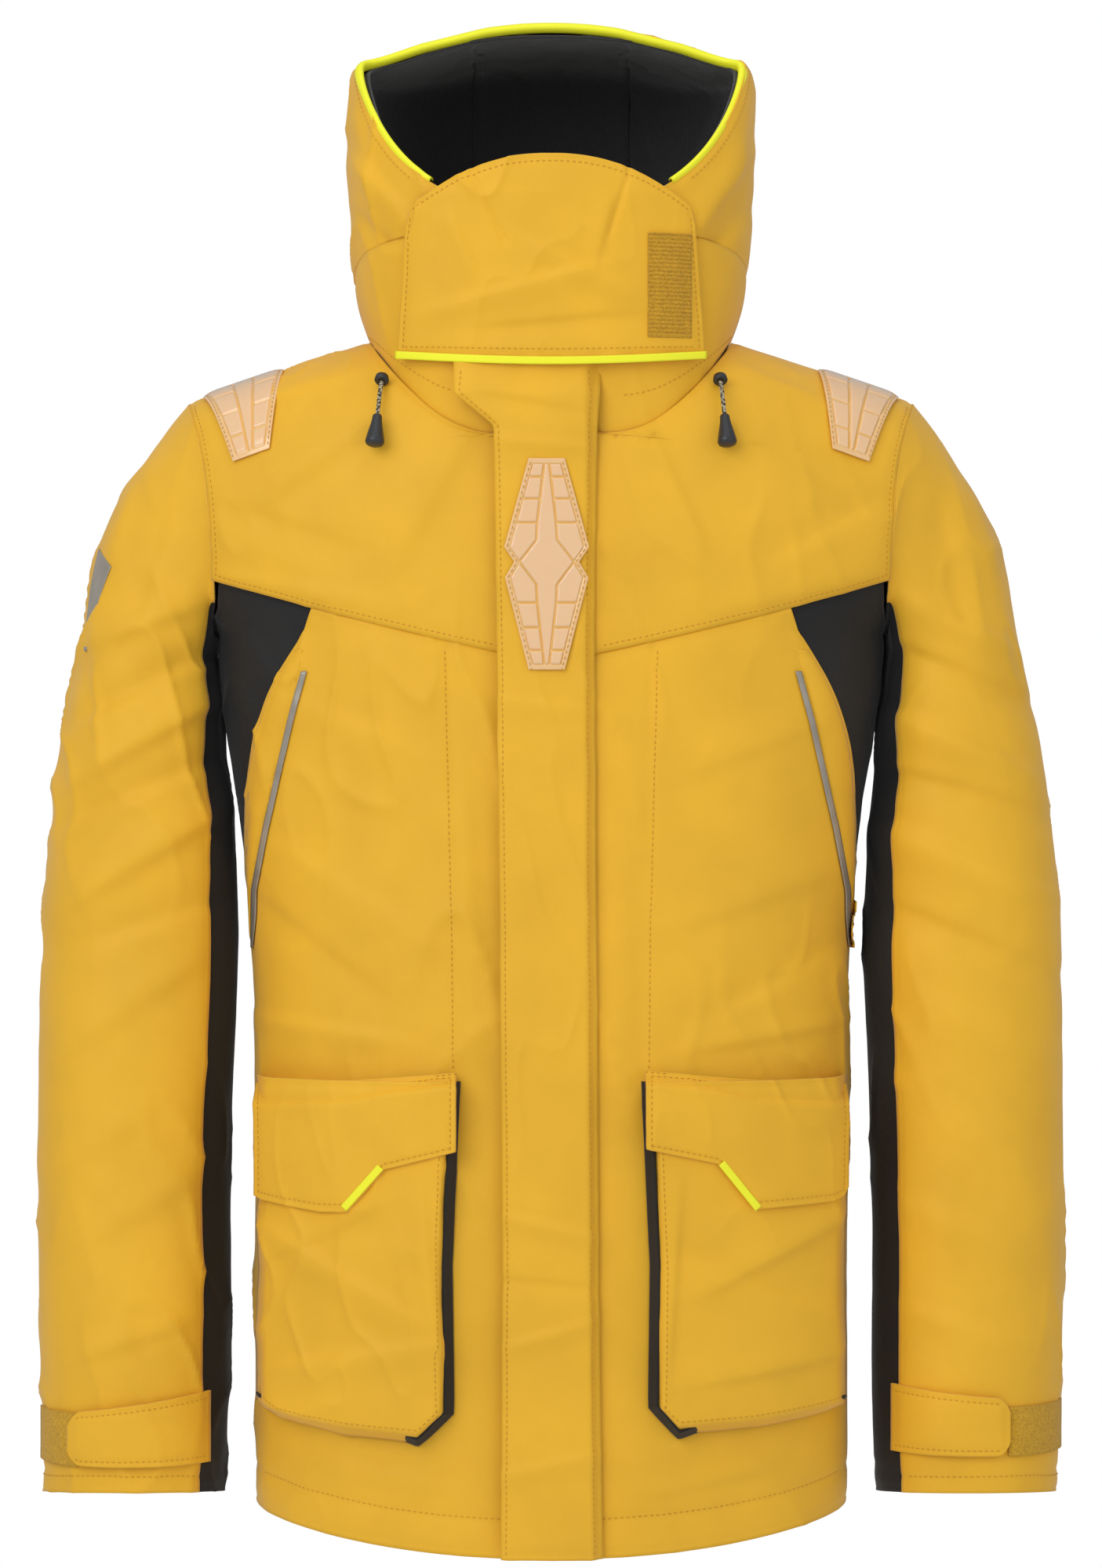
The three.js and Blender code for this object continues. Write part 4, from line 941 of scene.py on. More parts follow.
class JACKET_OT_sleeves(bpy.types.Operator):
    """Cut both sleeves, their black under strips, inner cuffs, straps and patches"""
    bl_idname = "jacket.sleeves"
    bl_label = "Sleeves"

    def execute(self, context):
        edge = math.pi - UNDER_TURN
        for side, sign in SIDES:
            bend = sleeve_bend(side, sign)
            heart = sleeve_heart(sign)
            upper = sided(lambda u, v: sleeve_point(1 - v, lerp(-edge, edge, u)), sign)
            tuck = UNDER_TURN + math.radians(5)
            under = sided(lambda u, v: sleeve_point(
                1 - v, math.pi + lerp(-tuck, tuck, u), -0.0022), sign)
            inner = sided(lambda u, v: sleeve_point(
                lerp(0.997, 0.86, v), 2 * math.pi * u, -0.0035 - 0.005 * v), sign)
            cloth(f"sleeve_upper_{side}", 104, 210, upper, "shell_yellow", body=TRUNK,
                  nodes=[f"sleeve_upper_{side}"], heart=heart, folds=SLEEVE_FOLDS, rumple=1.25,
                  blend=bend, dents=(cuff_hem,))
            cloth(f"sleeve_under_{side}", 44, 200, under, "shell_black", body=TRUNK,
                  nodes=[f"sleeve_under_{side}"], heart=heart, rumple=1.0, blend=bend,
                  folds=SLEEVE_FOLDS, dents=(cuff_hem,))
            cloth(f"inner_cuff_{side}", 90, 24, inner, "inner_cuff", body=f"sleeve_{side}",
                  nodes=[f"cuff_seal_{side}"], heart=heart, rumple=0.5)
            self.cuff(side, sign)
            hem = [mirror_point(sleeve_point(0.981, turn, 0.001), sign)
                   for turn in steps(-edge + 0.1, edge - 0.1, 120)]
            stitch_row(f"sleeve_upper_{side}", f"sleeve_{side}", hem)
        return {"FINISHED"}

    def cuff(self, side, sign):
        """Strap and one hook-and-loop patch on the front of one cuff."""
        body = f"sleeve_{side}"
        low, high = (0.056, 0.107) if sign < 0 else (0.064, 0.112)
        tip = 0.346 if sign < 0 else 0.327
        heart = sleeve_heart(sign)

        def strap(u, v):
            x = lerp(0.243, tip, u)
            slope = lerp(0.0, -0.014 if sign < 0 else -0.008, u)
            round_end = 0.010 * clamp((u - 0.90) / 0.10) ** 2
            z = lerp(low + round_end, high + slope - round_end, v)
            return sleeve_front(sign * x, z, 0.0052 + 0.0014 * math.sin(u * math.pi))

        def patch(u, v):
            x = lerp(0.326 if sign > 0 else 0.338, 0.3695, u)
            z = lerp(low - 0.001, high - 0.014, v)
            return sleeve_front(sign * x, z, 0.0026)

        cloth(f"cuff_strap_{side}", 56, 26, strap, "shell_yellow", body=body,
              nodes=[f"cuff_strap_{side}"], heart=heart, rumple=0.35, thick=0.0022,
              blend=(f"strap_{side}", (sign * 0.243, 0, 0.08), (sign * 0.256, 0, 0.08)))
        cloth(f"cuff_patch_{side}", 24, 20, patch, "hook_tape", body=body,
              nodes=[f"cuff_loop_patch_{side}"], heart=heart, rumple=0.3, thick=0.0012)
        for v in (0.09, 0.91):
            line = [strap(u, v) for u in steps(0.04, 0.93, 50)]
            stitch_row(f"cuff_strap_{side}", f"strap_{side}", line)


def mirror_point(point, sign):
    return Vector((sign * point.x, point.y, point.z))


# ---- Stage ----------------------------------------------------------------------------------


class JACKET_OT_stage(bpy.types.Operator):
    """Set the pale floor, the soft lights and the camera"""
    bl_idname = "jacket.stage"
    bl_label = "Stage"

    def execute(self, context):
        scene = context.scene
        scene.view_settings.view_transform = "Standard"
        middle = Vector((0, BODY_Y - 0.06, HEM_Z + 0.5415))
        distance = 3.3
        frame_height = 1.12
        lens = bpy.data.cameras.new("camera")
        lens.sensor_fit = "VERTICAL"
        lens.sensor_height = 36
        lens.sensor_width = 36
        lens.lens = 36 * distance / frame_height
        camera = bpy.data.objects.new("camera", lens)
        camera.location = middle - Vector((0, distance, 0))
        camera.rotation_euler = (math.pi / 2, 0, 0)
        context.collection.objects.link(camera)
        scene.camera = camera
        self.floor(context)
        self.light(context, "key", (-1.5, -2.6, 1.3), 2.2, 40)
        self.light(context, "fill", (1.9, -2.3, 0.5), 2.6, 12)
        self.light(context, "top", (0.1, -0.6, 2.2), 2.0, 10)
        world = bpy.data.worlds.new("studio")
        world.use_nodes = True
        self.sky(world.node_tree)
        scene.world = world
        return {"FINISHED"}

    def sky(self, tree):
        """A white backdrop that lights the jacket more softly than it shows."""
        backdrop = tree.nodes["Background"]
        backdrop.inputs["Color"].default_value = (1, 1, 1, 1)
        backdrop.inputs["Strength"].default_value = 1.0
        glow = tree.nodes.new("ShaderNodeBackground")
        glow.inputs["Color"].default_value = (1, 1, 1, 1)
        glow.inputs["Strength"].default_value = 0.42
        path = tree.nodes.new("ShaderNodeLightPath")
        mix = tree.nodes.new("ShaderNodeMixShader")
        tree.links.new(path.outputs["Is Camera Ray"], mix.inputs["Fac"])
        tree.links.new(glow.outputs["Background"], mix.inputs[1])
        tree.links.new(backdrop.outputs["Background"], mix.inputs[2])
        tree.links.new(mix.outputs["Shader"], tree.nodes["World Output"].inputs["Surface"])

    def floor(self, context):
        bm = bmesh.new()
        bmesh.ops.create_grid(bm, x_segments=1, y_segments=1, size=3.2)
        bmesh.ops.translate(bm, verts=bm.verts, vec=(0, 0, HEM_Z - 0.60))
        mesh = bpy.data.meshes.new("floor")
        bm.to_mesh(mesh)
        bm.free()
        floor = bpy.data.objects.new("floor", mesh)
        context.collection.objects.link(floor)
        finish, tree, shader, place = new_finish("studio_floor")
        grain = noise_node(tree, place, 3.0)
        pale = mix_colour(tree, grain, (0.93, 0.93, 0.93), (0.96, 0.96, 0.96))
        tree.links.new(pale, shader.inputs["Base Color"])
        shader.inputs["Roughness"].default_value = 0.9
        mesh.materials.append(finish)

    def light(self, context, name, place, size, power_watts):
        lamp = bpy.data.lights.new(name, "AREA")
        lamp.size = size
        lamp.energy = power_watts
        rig = bpy.data.objects.new(name, lamp)
        rig.location = Vector(place) + Vector((0, BODY_Y, HEM_Z + 0.5))
        aim = Vector((0, BODY_Y, HEM_Z + 0.55)) - rig.location
        rig.rotation_euler = aim.to_track_quat("-Z", "Y").to_euler()
        context.collection.objects.link(rig)


class JACKET_OT_stitching(bpy.types.Operator):
    """Gather all thread into its own pieces"""
    bl_idname = "jacket.stitching"
    bl_label = "Stitching"

    def execute(self, context):
        finish_stitches()
        return {"FINISHED"}


# ---- Storm flap, zip and pads ---------------------------------------------------------------

FLAP_Y = -0.1462
FLAP_TOP = 0.836
FLAP_FREE = [(0.000, -0.035), (0.205, -0.0338), (0.615, -0.0375), (0.789, -0.040),
             (0.792, -0.0415), (0.814, -0.068), (0.836, -0.068)]
FLAP_SEWN = [(0.000, 0.0365), (0.205, 0.0336), (0.600, 0.031), (0.700, 0.031), (0.791, 0.0325),
             (0.836, 0.036)]


def flap_place(u, v):
    z = lerp(0.0012, FLAP_TOP, v)
    x = lerp(track(FLAP_FREE, z), track(FLAP_SEWN, z), u)
    tuck = 0.0072 * smooth((u - 0.88) / 0.12) + 0.0016 * smooth((0.06 - u) / 0.06)
    under_guard = 0.0045 * smooth((z - 0.812) / 0.018)
    return Vector((x, FLAP_Y + tuck + under_guard - 0.0012 * math.sin(u * math.pi), z))


def flap_row(inset, sewn):
    edge = FLAP_SEWN if sewn else FLAP_FREE
    sign = -1 if sewn else 1
    return [Vector((track(edge, z) + sign * inset, FLAP_Y, z)) for z in steps(0.006, 0.832, 220)]


PAD_WAIST = 0.51
PAD_HALF = [(0.0, 0.0125), (0.435, 0.0290), (PAD_WAIST, 0.0225), (0.58, 0.0295), (1.0, 0.0125)]
PAD_SPINDLE = [(0.0, 0.0014), (0.62, 0.0066), (0.79, 0.0072), (1.0, 0.0190)]
PAD_RIBS = (0.18, 0.39, 0.62)


def pad_cell(across, along, half, length=0.147):
    """How far a point of a pad stands in a raised cell: 0 in the grooves and 1 on a cell."""
    reach = abs(across) * half
    share = along / PAD_WAIST if along < PAD_WAIST else (1 - along) / (1 - PAD_WAIST)
    rim = min(half - reach, min(along, 1 - along) * length)
    if rim < 0.0034:
        return 0.55
    spindle = track(PAD_SPINDLE, share)
    lines = [rim - 0.0034, abs(reach - spindle)]
    if reach > spindle:
        lines += [abs(share - rib) * length * 0.5 for rib in PAD_RIBS]
    return smooth((min(lines) - 0.0004) / 0.0009)


class JACKET_OT_closure(bpy.types.Operator):
    """Make the storm flap, its clear pad, the inner guard and the zip"""
    bl_idname = "jacket.closure"
    bl_label = "Front closure"

    def execute(self, context):
        heart = lambda point: Vector((point.x, 0, point.z))
        cloth("storm_flap", 44, 420, flap_place, "shell_yellow", body="front_flap",
              nodes=["storm_flap"], heart=heart, folds=FLAP_FOLDS, rumple=0.55, thick=0.002)
        for inset, sewn in ((0.0035, False), (0.0040, True)):
            stitch_row("storm_flap", "front_flap", flap_row(inset, sewn))
        self.centre_pad(heart)
        for side, sign in SIDES:
            self.shoulder_pad(side, sign)
        guard = lambda u, v: Vector((lerp(-0.026, 0.026, u), -0.1300, lerp(0.012, 0.779, v)))
        cloth("inner_storm_guard", 16, 160, guard, "shell_yellow", nodes=["inner_storm_guard"],
              heart=heart, rumple=0.15, thick=0.001)
        self.zip(heart)
        return {"FINISHED"}

    def centre_pad(self, heart):
        def place(u, v):
            half = track(PAD_HALF, v)
            return Vector((-0.003 + (2 * u - 1) * half, FLAP_Y - 0.0022, lerp(0.621, 0.768, v)))

        cloth("centre_pad", 92, 230, place, "soft_pvc", body="front_flap", nodes=["centre_pad"],
              heart=heart, rumple=0.0, seam=0.0, thick=0.0012, sheet=False, rise=0.0016,
              cell=lambda u, v: pad_cell(2 * u - 1, v, track(PAD_HALF, v)))
        for sign in (-1, 1):
            line = [Vector((-0.003 + sign * (track(PAD_HALF, v) - 0.002), FLAP_Y - 0.004,
                            lerp(0.621, 0.768, v))) for v in steps(0.0, 1.0, 90)]
            stitch_row("centre_pad", "front_flap", line)

    def shoulder_pad(self, side, sign):
        def shape(u, v):
            swing = 2 * v - 1
            half = track([(0.0, 0.022), (0.10, 0.0225), (0.24, 0.029), (1.0, 0.013)], abs(swing))
            x = 0.223 - 0.012 * abs(swing) + (2 * u - 1) * half
            ridge = shoulder_height(x) + 0.0022
            z = ridge - 1e-4 - 0.062 * (1 - math.cos(swing * math.pi / 2))
            return Vector((x, math.copysign(body_depth(x, z, 0.0022), swing), z))

        def cell(u, v):
            half = track([(0.0, 0.022), (0.10, 0.0225), (0.24, 0.029), (1.0, 0.013)],
                         abs(2 * v - 1))
            return pad_cell(2 * u - 1, v, half, 0.19)

        cloth(f"shoulder_pad_{side}", 92, 230, sided(shape, sign), "soft_pvc",
              nodes=[f"shoulder_pad_{side}"], rumple=0.0, seam=0.0, thick=0.0012, sheet=False,
              cell=cell, rise=0.0016, heart=lambda p: Vector((p.x, 0, p.z - 0.08)))
        for edge in (0.04, 0.96):
            line = [sided(shape, sign)(edge, v) for v in steps(0.02, 0.98, 90)]
            stitch_row(f"shoulder_pad_{side}", TRUNK, line)

    def zip(self, heart):
        """Tapes with a moulded tooth row each, a slider and its puller."""
        for side, sign in SIDES:
            def tape(u, v, sign=sign):
                return Vector((sign * lerp(0.0008, 0.0088, u), -0.1350, lerp(0.012, 0.779, v)))
            cloth(f"zip_tape_{side}", 8, 120, tape, "zip_coil", nodes=[f"zip_tape_{side}"],
                  heart=heart, rumple=0.0, seam=0.0, thick=0.0012)
        bm = bmesh.new()
        pitch = 0.0045
        for i in range(int(0.76 / pitch)):
            sign = 1 if i % 2 else -1
            at = Matrix.Translation((sign * 0.0010, -0.1358, 0.016 + i * pitch))
            size = Matrix.Diagonal((0.0042, 0.0018, 0.0022, 1))
            bmesh.ops.create_cube(bm, size=1.0, matrix=at @ size)
        bmesh.ops.bevel(bm, geom=bm.edges[:], offset=0.0003, segments=1, affect="EDGES",
                        profile=0.5, material=-1)
        keep(bm, "zip_teeth", "zip_coil", TRUNK, None)
        for name in ("zip_slider", "zip_puller"):
            low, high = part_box(name)
            bm = bmesh.new()
            centre = (low + high) / 2 - Vector((0, BODY_Y, HEM_Z))
            size = Matrix.Diagonal((*(high - low), 1))
            bmesh.ops.create_cube(bm, size=1.0, matrix=Matrix.Translation(centre) @ size)
            rounding = min(high - low) * 0.3
            bmesh.ops.bevel(bm, geom=bm.edges[:], offset=rounding, segments=3, affect="EDGES",
                            profile=0.5, material=-1)
            keep(bm, name, "moulded_plastic", "zip_pull", [name])


# ---- Pockets --------------------------------------------------------------------------------

BAG_FOOT = {1: [(0.067, 0.108), (0.069, 0.106), (0.089, 0.084), (0.145, 0.087), (0.195, 0.093),
                (0.212, 0.096)],
            -1: [(0.068, 0.104), (0.069, 0.102), (0.093, 0.078), (0.143, 0.081), (0.193, 0.088),
                 (0.210, 0.098)]}
FLAP_FOOT = {1: [(0.067, 0.288), (0.071, 0.287), (0.117, 0.277), (0.144, 0.2445), (0.200, 0.247),
                 (0.208, 0.250), (0.211, 0.256)],
             -1: [(0.067, 0.286), (0.117, 0.273), (0.143, 0.2425), (0.163, 0.242), (0.205, 0.2475),
                  (0.211, 0.250)]}
FLAP_HEAD = {1: [(0.064, 0.342), (0.209, 0.328)], -1: [(0.067, 0.340), (0.216, 0.328)]}


def bag_inner(z):
    """Inner edge of the pocket bag."""
    return track([(0.10, 0.0685), (0.205, 0.0700), (0.260, 0.0675), (0.339, 0.0640)], z)


class JACKET_OT_pockets(bpy.types.Operator):
    """Make the bellows pockets, their flaps and trim, and the hand-pocket welts and stripes"""
    bl_idname = "jacket.pockets"
    bl_label = "Pockets"

    def execute(self, context):
        for side, sign in SIDES:
            self.bag(side, sign)
            self.flap(side, sign)
            self.stripe(side, sign)
        return {"FINISHED"}

    def bag(self, side, sign):
        foot = BAG_FOOT[sign]

        def face(u, v):
            guess = lerp(0.100, 0.334, v)
            x = lerp(bag_inner(guess) + 0.0035, 0.211, u)
            z = lerp(track(foot, x) + 0.003, 0.334, v)
            full = min(1.0, u / 0.05, (1 - u) / 0.07, v / 0.04)
            off = 0.0045 + 0.0125 * math.sin(clamp(full) * math.pi / 2)
            return front_point(x, z, off)

        # The gusset is the same yellow shell cloth as the pocket; it is cut in black cloth here as
        # painted shade for the dark bellows gap along the inner edge, chamfer and foot.
        def gusset(u, v):
            if v < 0.62:
                z = lerp(0.334, 0.112, v / 0.62)
                x = bag_inner(z)
            else:
                x = lerp(0.0685, 0.210, (v - 0.62) / 0.38)
                z = track(foot, x)
            turned = smooth((v - 0.58) / 0.12)
            shrink = lerp(-0.0012, 0.0050, u) + 0.0060 * smooth((v - 0.66) / 0.08)
            inward = Vector((1 - turned, 0, turned)).normalized()
            spot = Vector((x, 0, z)) + inward * shrink
            return front_point(spot.x, spot.z, lerp(0.0030, 0.0135, u))

        cloth(f"pocket_bag_{side}", 96, 150, sided(face, sign), "shell_yellow",
              nodes=[f"pocket_bag_{side}"], folds=POCKET_FOLDS, rumple=0.9, thick=0.0016)
        # Black finish on the gusset is painted shade of the bellows gap, not the gusset's own colour.
        cloth(f"pocket_shaded_gusset_{side}", 10, 190, sided(gusset, sign), "shell_black",
              rumple=0.2, seam=0.0, nodes=[f"pocket_floor_{side}"])
        edge = [sided(face, sign)(0.055, v) for v in steps(0.03, 0.97, 70)]
        stitch_row(f"pocket_bag_{side}", TRUNK, edge)
        foot_line = [sided(face, sign)(u, 0.042) for u in steps(0.05, 0.95, 60)]
        stitch_row(f"pocket_bag_{side}", TRUNK, foot_line)

    def flap(self, side, sign):
        foot = FLAP_FOOT[sign]
        head = FLAP_HEAD[sign]
        body = f"pocket_{side}"

        def place(u, v, lift=0.0):
            x = lerp(0.0665, 0.2115, u)
            z = lerp(track(foot, x), track(head, x), v)
            rise = 0.0205 - 0.0125 * smooth((v - 0.80) / 0.20)
            return front_point(x, z, rise + lift)

        cloth(body.replace("pocket", "pocket_flap"), 116, 64, sided(place, sign), "shell_yellow",
              body=body, nodes=[f"pocket_flap_{side}"], folds=(), rumple=0.45, thick=0.0022)

        def neon(u, v):
            start, end = Vector((0.1175, 0.2735 if sign < 0 else 0.2765)), Vector((0.1435, 0.2440))
            run = (end - start).normalized()
            out = Vector((-run.y, run.x))
            spot = start.lerp(end, u) + out * lerp(-0.0008, 0.0044, v)
            return front_point(spot.x, spot.y, 0.0212)

        cloth(f"pocket_flap_trim_{side}", 40, 6, sided(neon, sign), "neon_trim", body=body,
              nodes=[f"pocket_flap_trim_{side}"], rumple=0.0, seam=0.0, thick=0.0008)

        def tape(u, v):
            x = lerp(0.148, 0.192, u)
            return front_point(x, lerp(0.262, 0.300, v), 0.0185)

        cloth(f"pocket_loop_patch_{side}", 12, 12, sided(tape, sign), "hook_tape",
              nodes=[f"pocket_loop_patch_{side}"], rumple=0.0, seam=0.0, thick=0.0008)
        name = f"pocket_flap_{side}"
        for v in (0.06, 0.945):
            line = [sided(place, sign)(u, v) for u in steps(0.03, 0.97, 70)]
            stitch_row(name, body, line)
        for u in (0.024, 0.976):
            line = [sided(place, sign)(u, v) for v in steps(0.06, 0.94, 40)]
            stitch_row(name, body, line)
        tack = [sided(place, sign)(u, 0.985) for u in steps(0.0, 0.10, 12)]
        stitch_row(name, body, tack)

    def stripe(self, side, sign):
        line = [(0.417, 0.2155), (0.441, 0.2135), (0.465, 0.2125), (0.487, 0.2075),
                (0.511, 0.2025), (0.531, 0.1975), (0.552, 0.1925), (0.585, 0.1845), (0.630, 0.1720)]

        def on_panel(x, z, lift):
            start = Vector((sign * x, -1.0, z))
            spot, normal, _, _ = SURFACES[f"front_{side}"].ray_cast(start, Vector((0, 1, 0)))
            if spot is None:
                return front_point(x, z, 0.003)
            return mirror_point(spot + normal * lift, sign)

        def tape(u, v):
            z = lerp(0.424, 0.621, v)
            wide = 0.0022 * min(1.0, 0.4 + v * 5)
            return on_panel(track(line, z) - 0.001 + (2 * u - 1) * wide, z, 0.0016)

        def welt(u, v):
            z = lerp(0.424, 0.636, v)
            edge = body_point(side_front_turn(z), z).x - 0.0012
            x = lerp(min(track(line, z) + 0.0022, edge - 0.003), edge, u)
            return on_panel(x, z, 0.0004 + 0.0012 * math.sin(u * math.pi))

        cloth(f"reflective_stripe_{side}", 4, 90, sided(tape, sign), "reflective_tape",
              nodes=[f"reflective_stripe_{side}"], rumple=0.0, seam=0.0, thick=0.0005)
        cloth(f"hand_pocket_welt_{side}", 8, 90, sided(welt, sign), "shell_yellow",
              nodes=[f"hand_pocket_welt_{side}"], rumple=0.1, thick=0.0009)


# ---- Collar, hood and face guard --------------------------------------------------------------


def crown_reach(x, swing, off=0.0):
    """Distance from the hood's middle to its skin, at side x and a swing over the crown."""
    near, far = 0.0, 0.4
    for _ in range(36):
        middle = (near + far) / 2
        y = -math.cos(swing) * middle
        rise = math.sin(swing) * middle / (HOOD_TOP - HOOD_SHOULDER + off)
        depth = (HOOD_FRONT if y < 0 else HOOD_BACK) + off
        level = ((abs(x) / (HOOD_X + off)) ** HOOD_SIDE_POWER
                 + (abs(y) / depth) ** HOOD_SIDE_POWER)
        if level ** (HOOD_CROWN_POWER / HOOD_SIDE_POWER) + abs(rise) ** HOOD_CROWN_POWER > 1:
            far = middle
        else:
            near = middle
    return near


def crown_point(x, swing, off=0.0):
    reach = crown_reach(x, swing, off)
    y = HOOD_Y - math.cos(swing) * reach
    z = HOOD_SHOULDER + math.sin(swing) * reach
    return Vector((x, y, z - crown_drop(x, z)))


def crown_front(x):
    """Swing at which the face opening crosses the crown at side x."""
    low, high = math.radians(40), math.radians(100)
    for _ in range(30):
        middle = (low + high) / 2
        point = crown_point(x, middle)
        if point.y < rim_y(point.z + crown_drop(x, point.z)):
            low = middle
        else:
            high = middle
    return high


CROWN_LENGTH = 0.2350


def hood_height(turn, v):
    """Height at share v of the way up the hood's side, even along its profile."""
    base = collar_edge(turn).z + 0.0004
    straight = HOOD_SHOULDER - base
    travelled = v * (straight + CROWN_LENGTH)
    if travelled < straight:
        return base + travelled
    return track(CROWN_STOPS, (travelled - straight) / CROWN_LENGTH)


def hood_side_place(u, v, off=0.0):
    guess = lerp(0.905, 0.980, v)
    low, high = max(rim_turn(guess), seam_turn(guess, False)), seam_turn(guess, True)
    z = hood_height(lerp(low, high, u), v)
    start = max(rim_turn(z), seam_turn(z, False))
    return hood_point(lerp(start, seam_turn(z, True), u), z, off)


def hood_centre_place(u, v, off=-0.0008, lap=0.0025):
    x = lerp(-HOOD_SEAM_X - lap, HOOD_SEAM_X + lap, u)
    over = min(1.0, v / 0.78)
    if v <= 0.78:
        return crown_point(x, lerp(crown_front(x), math.pi, over), off)
    share = (abs(x) / HOOD_X) ** HOOD_SIDE_POWER
    back = HOOD_Y + (HOOD_BACK + off) * (1 - share) ** (1 / HOOD_SIDE_POWER)
    return Vector((x, back, lerp(HOOD_SHOULDER, collar_top(back), (v - 0.78) / 0.22)))


def rim_path(count=60):
    """Points round the face opening, from the wearer's right to left over the crown."""
    side = []
    for z in steps(0.962, HOOD_TOP - 0.0004, 400):
        point = hood_point(rim_turn(z), z)
        if z > 1.0 and point.x < HOOD_SEAM_X:
            break
        side.append(point)
    reach = HOOD_SEAM_X - 0.004
    over = [crown_point(x, crown_front(x)) for x in steps(reach, -reach, 22)]
    whole = side + over + [mirror_point(point, -1) for point in reversed(side)]
    return even_path(whole, count)


def even_path(points, count):
    """The same path as count + 1 evenly spaced points."""
    marks = [0.0]
    for a, b in zip(points, points[1:]):
        marks.append(marks[-1] + (b - a).length)
    out = []
    i = 0
    for k in range(count + 1):
        reach = marks[-1] * k / count
        while i < len(marks) - 2 and marks[i + 1] < reach:
            i += 1
        gap = max(marks[i + 1] - marks[i], 1e-9)
        out.append(points[i].lerp(points[i + 1], clamp((reach - marks[i]) / gap)))
    return out


def guard_place(u, v, off=0.0075):
    side = 2 * u - 1
    x = side * lerp(0.1085, 0.1015, v)
    top = 0.979 - 0.0205 * (abs(side) / 0.76) ** 2.2 - 0.010 * smooth((abs(side) - 0.95) / 0.05)
    return chin_point(x, lerp(0.8365 + 0.006 * side * side, top, v), off)


def guard_dart(point):
    """The two darts that shape the guard over the chin."""
    height = 0.0
    for x0, z0, x1, z1 in ((-0.055, 0.963, -0.032, 0.918), (0.054, 0.965, 0.041, 0.923)):
        t = clamp((z0 - point.z) / (z0 - z1))
        away = (point.x - lerp(x0, x1, t)) / 0.0022
        if z1 - 0.006 < point.z < z0 + 0.02:
            height -= 0.0014 * math.exp(-away * away) * (1 - smooth((z1 + 0.004 - point.z) / 0.010))
    return height


def under_hood(point):
    return Vector((0, HOOD_Y, min(point.z, HOOD_SHOULDER)))


COLLAR_LEAN = Vector((0, 0.23, 1)).normalized()
HOOD_BEND_START = Vector((0, HOOD_Y, NAPE_Z + HOOD_BACK * 0.23))
HOOD_BEND_END = HOOD_BEND_START + 0.105 * COLLAR_LEAN
HOOD_BEND = ("hood", tuple(HOOD_BEND_START), tuple(HOOD_BEND_END))


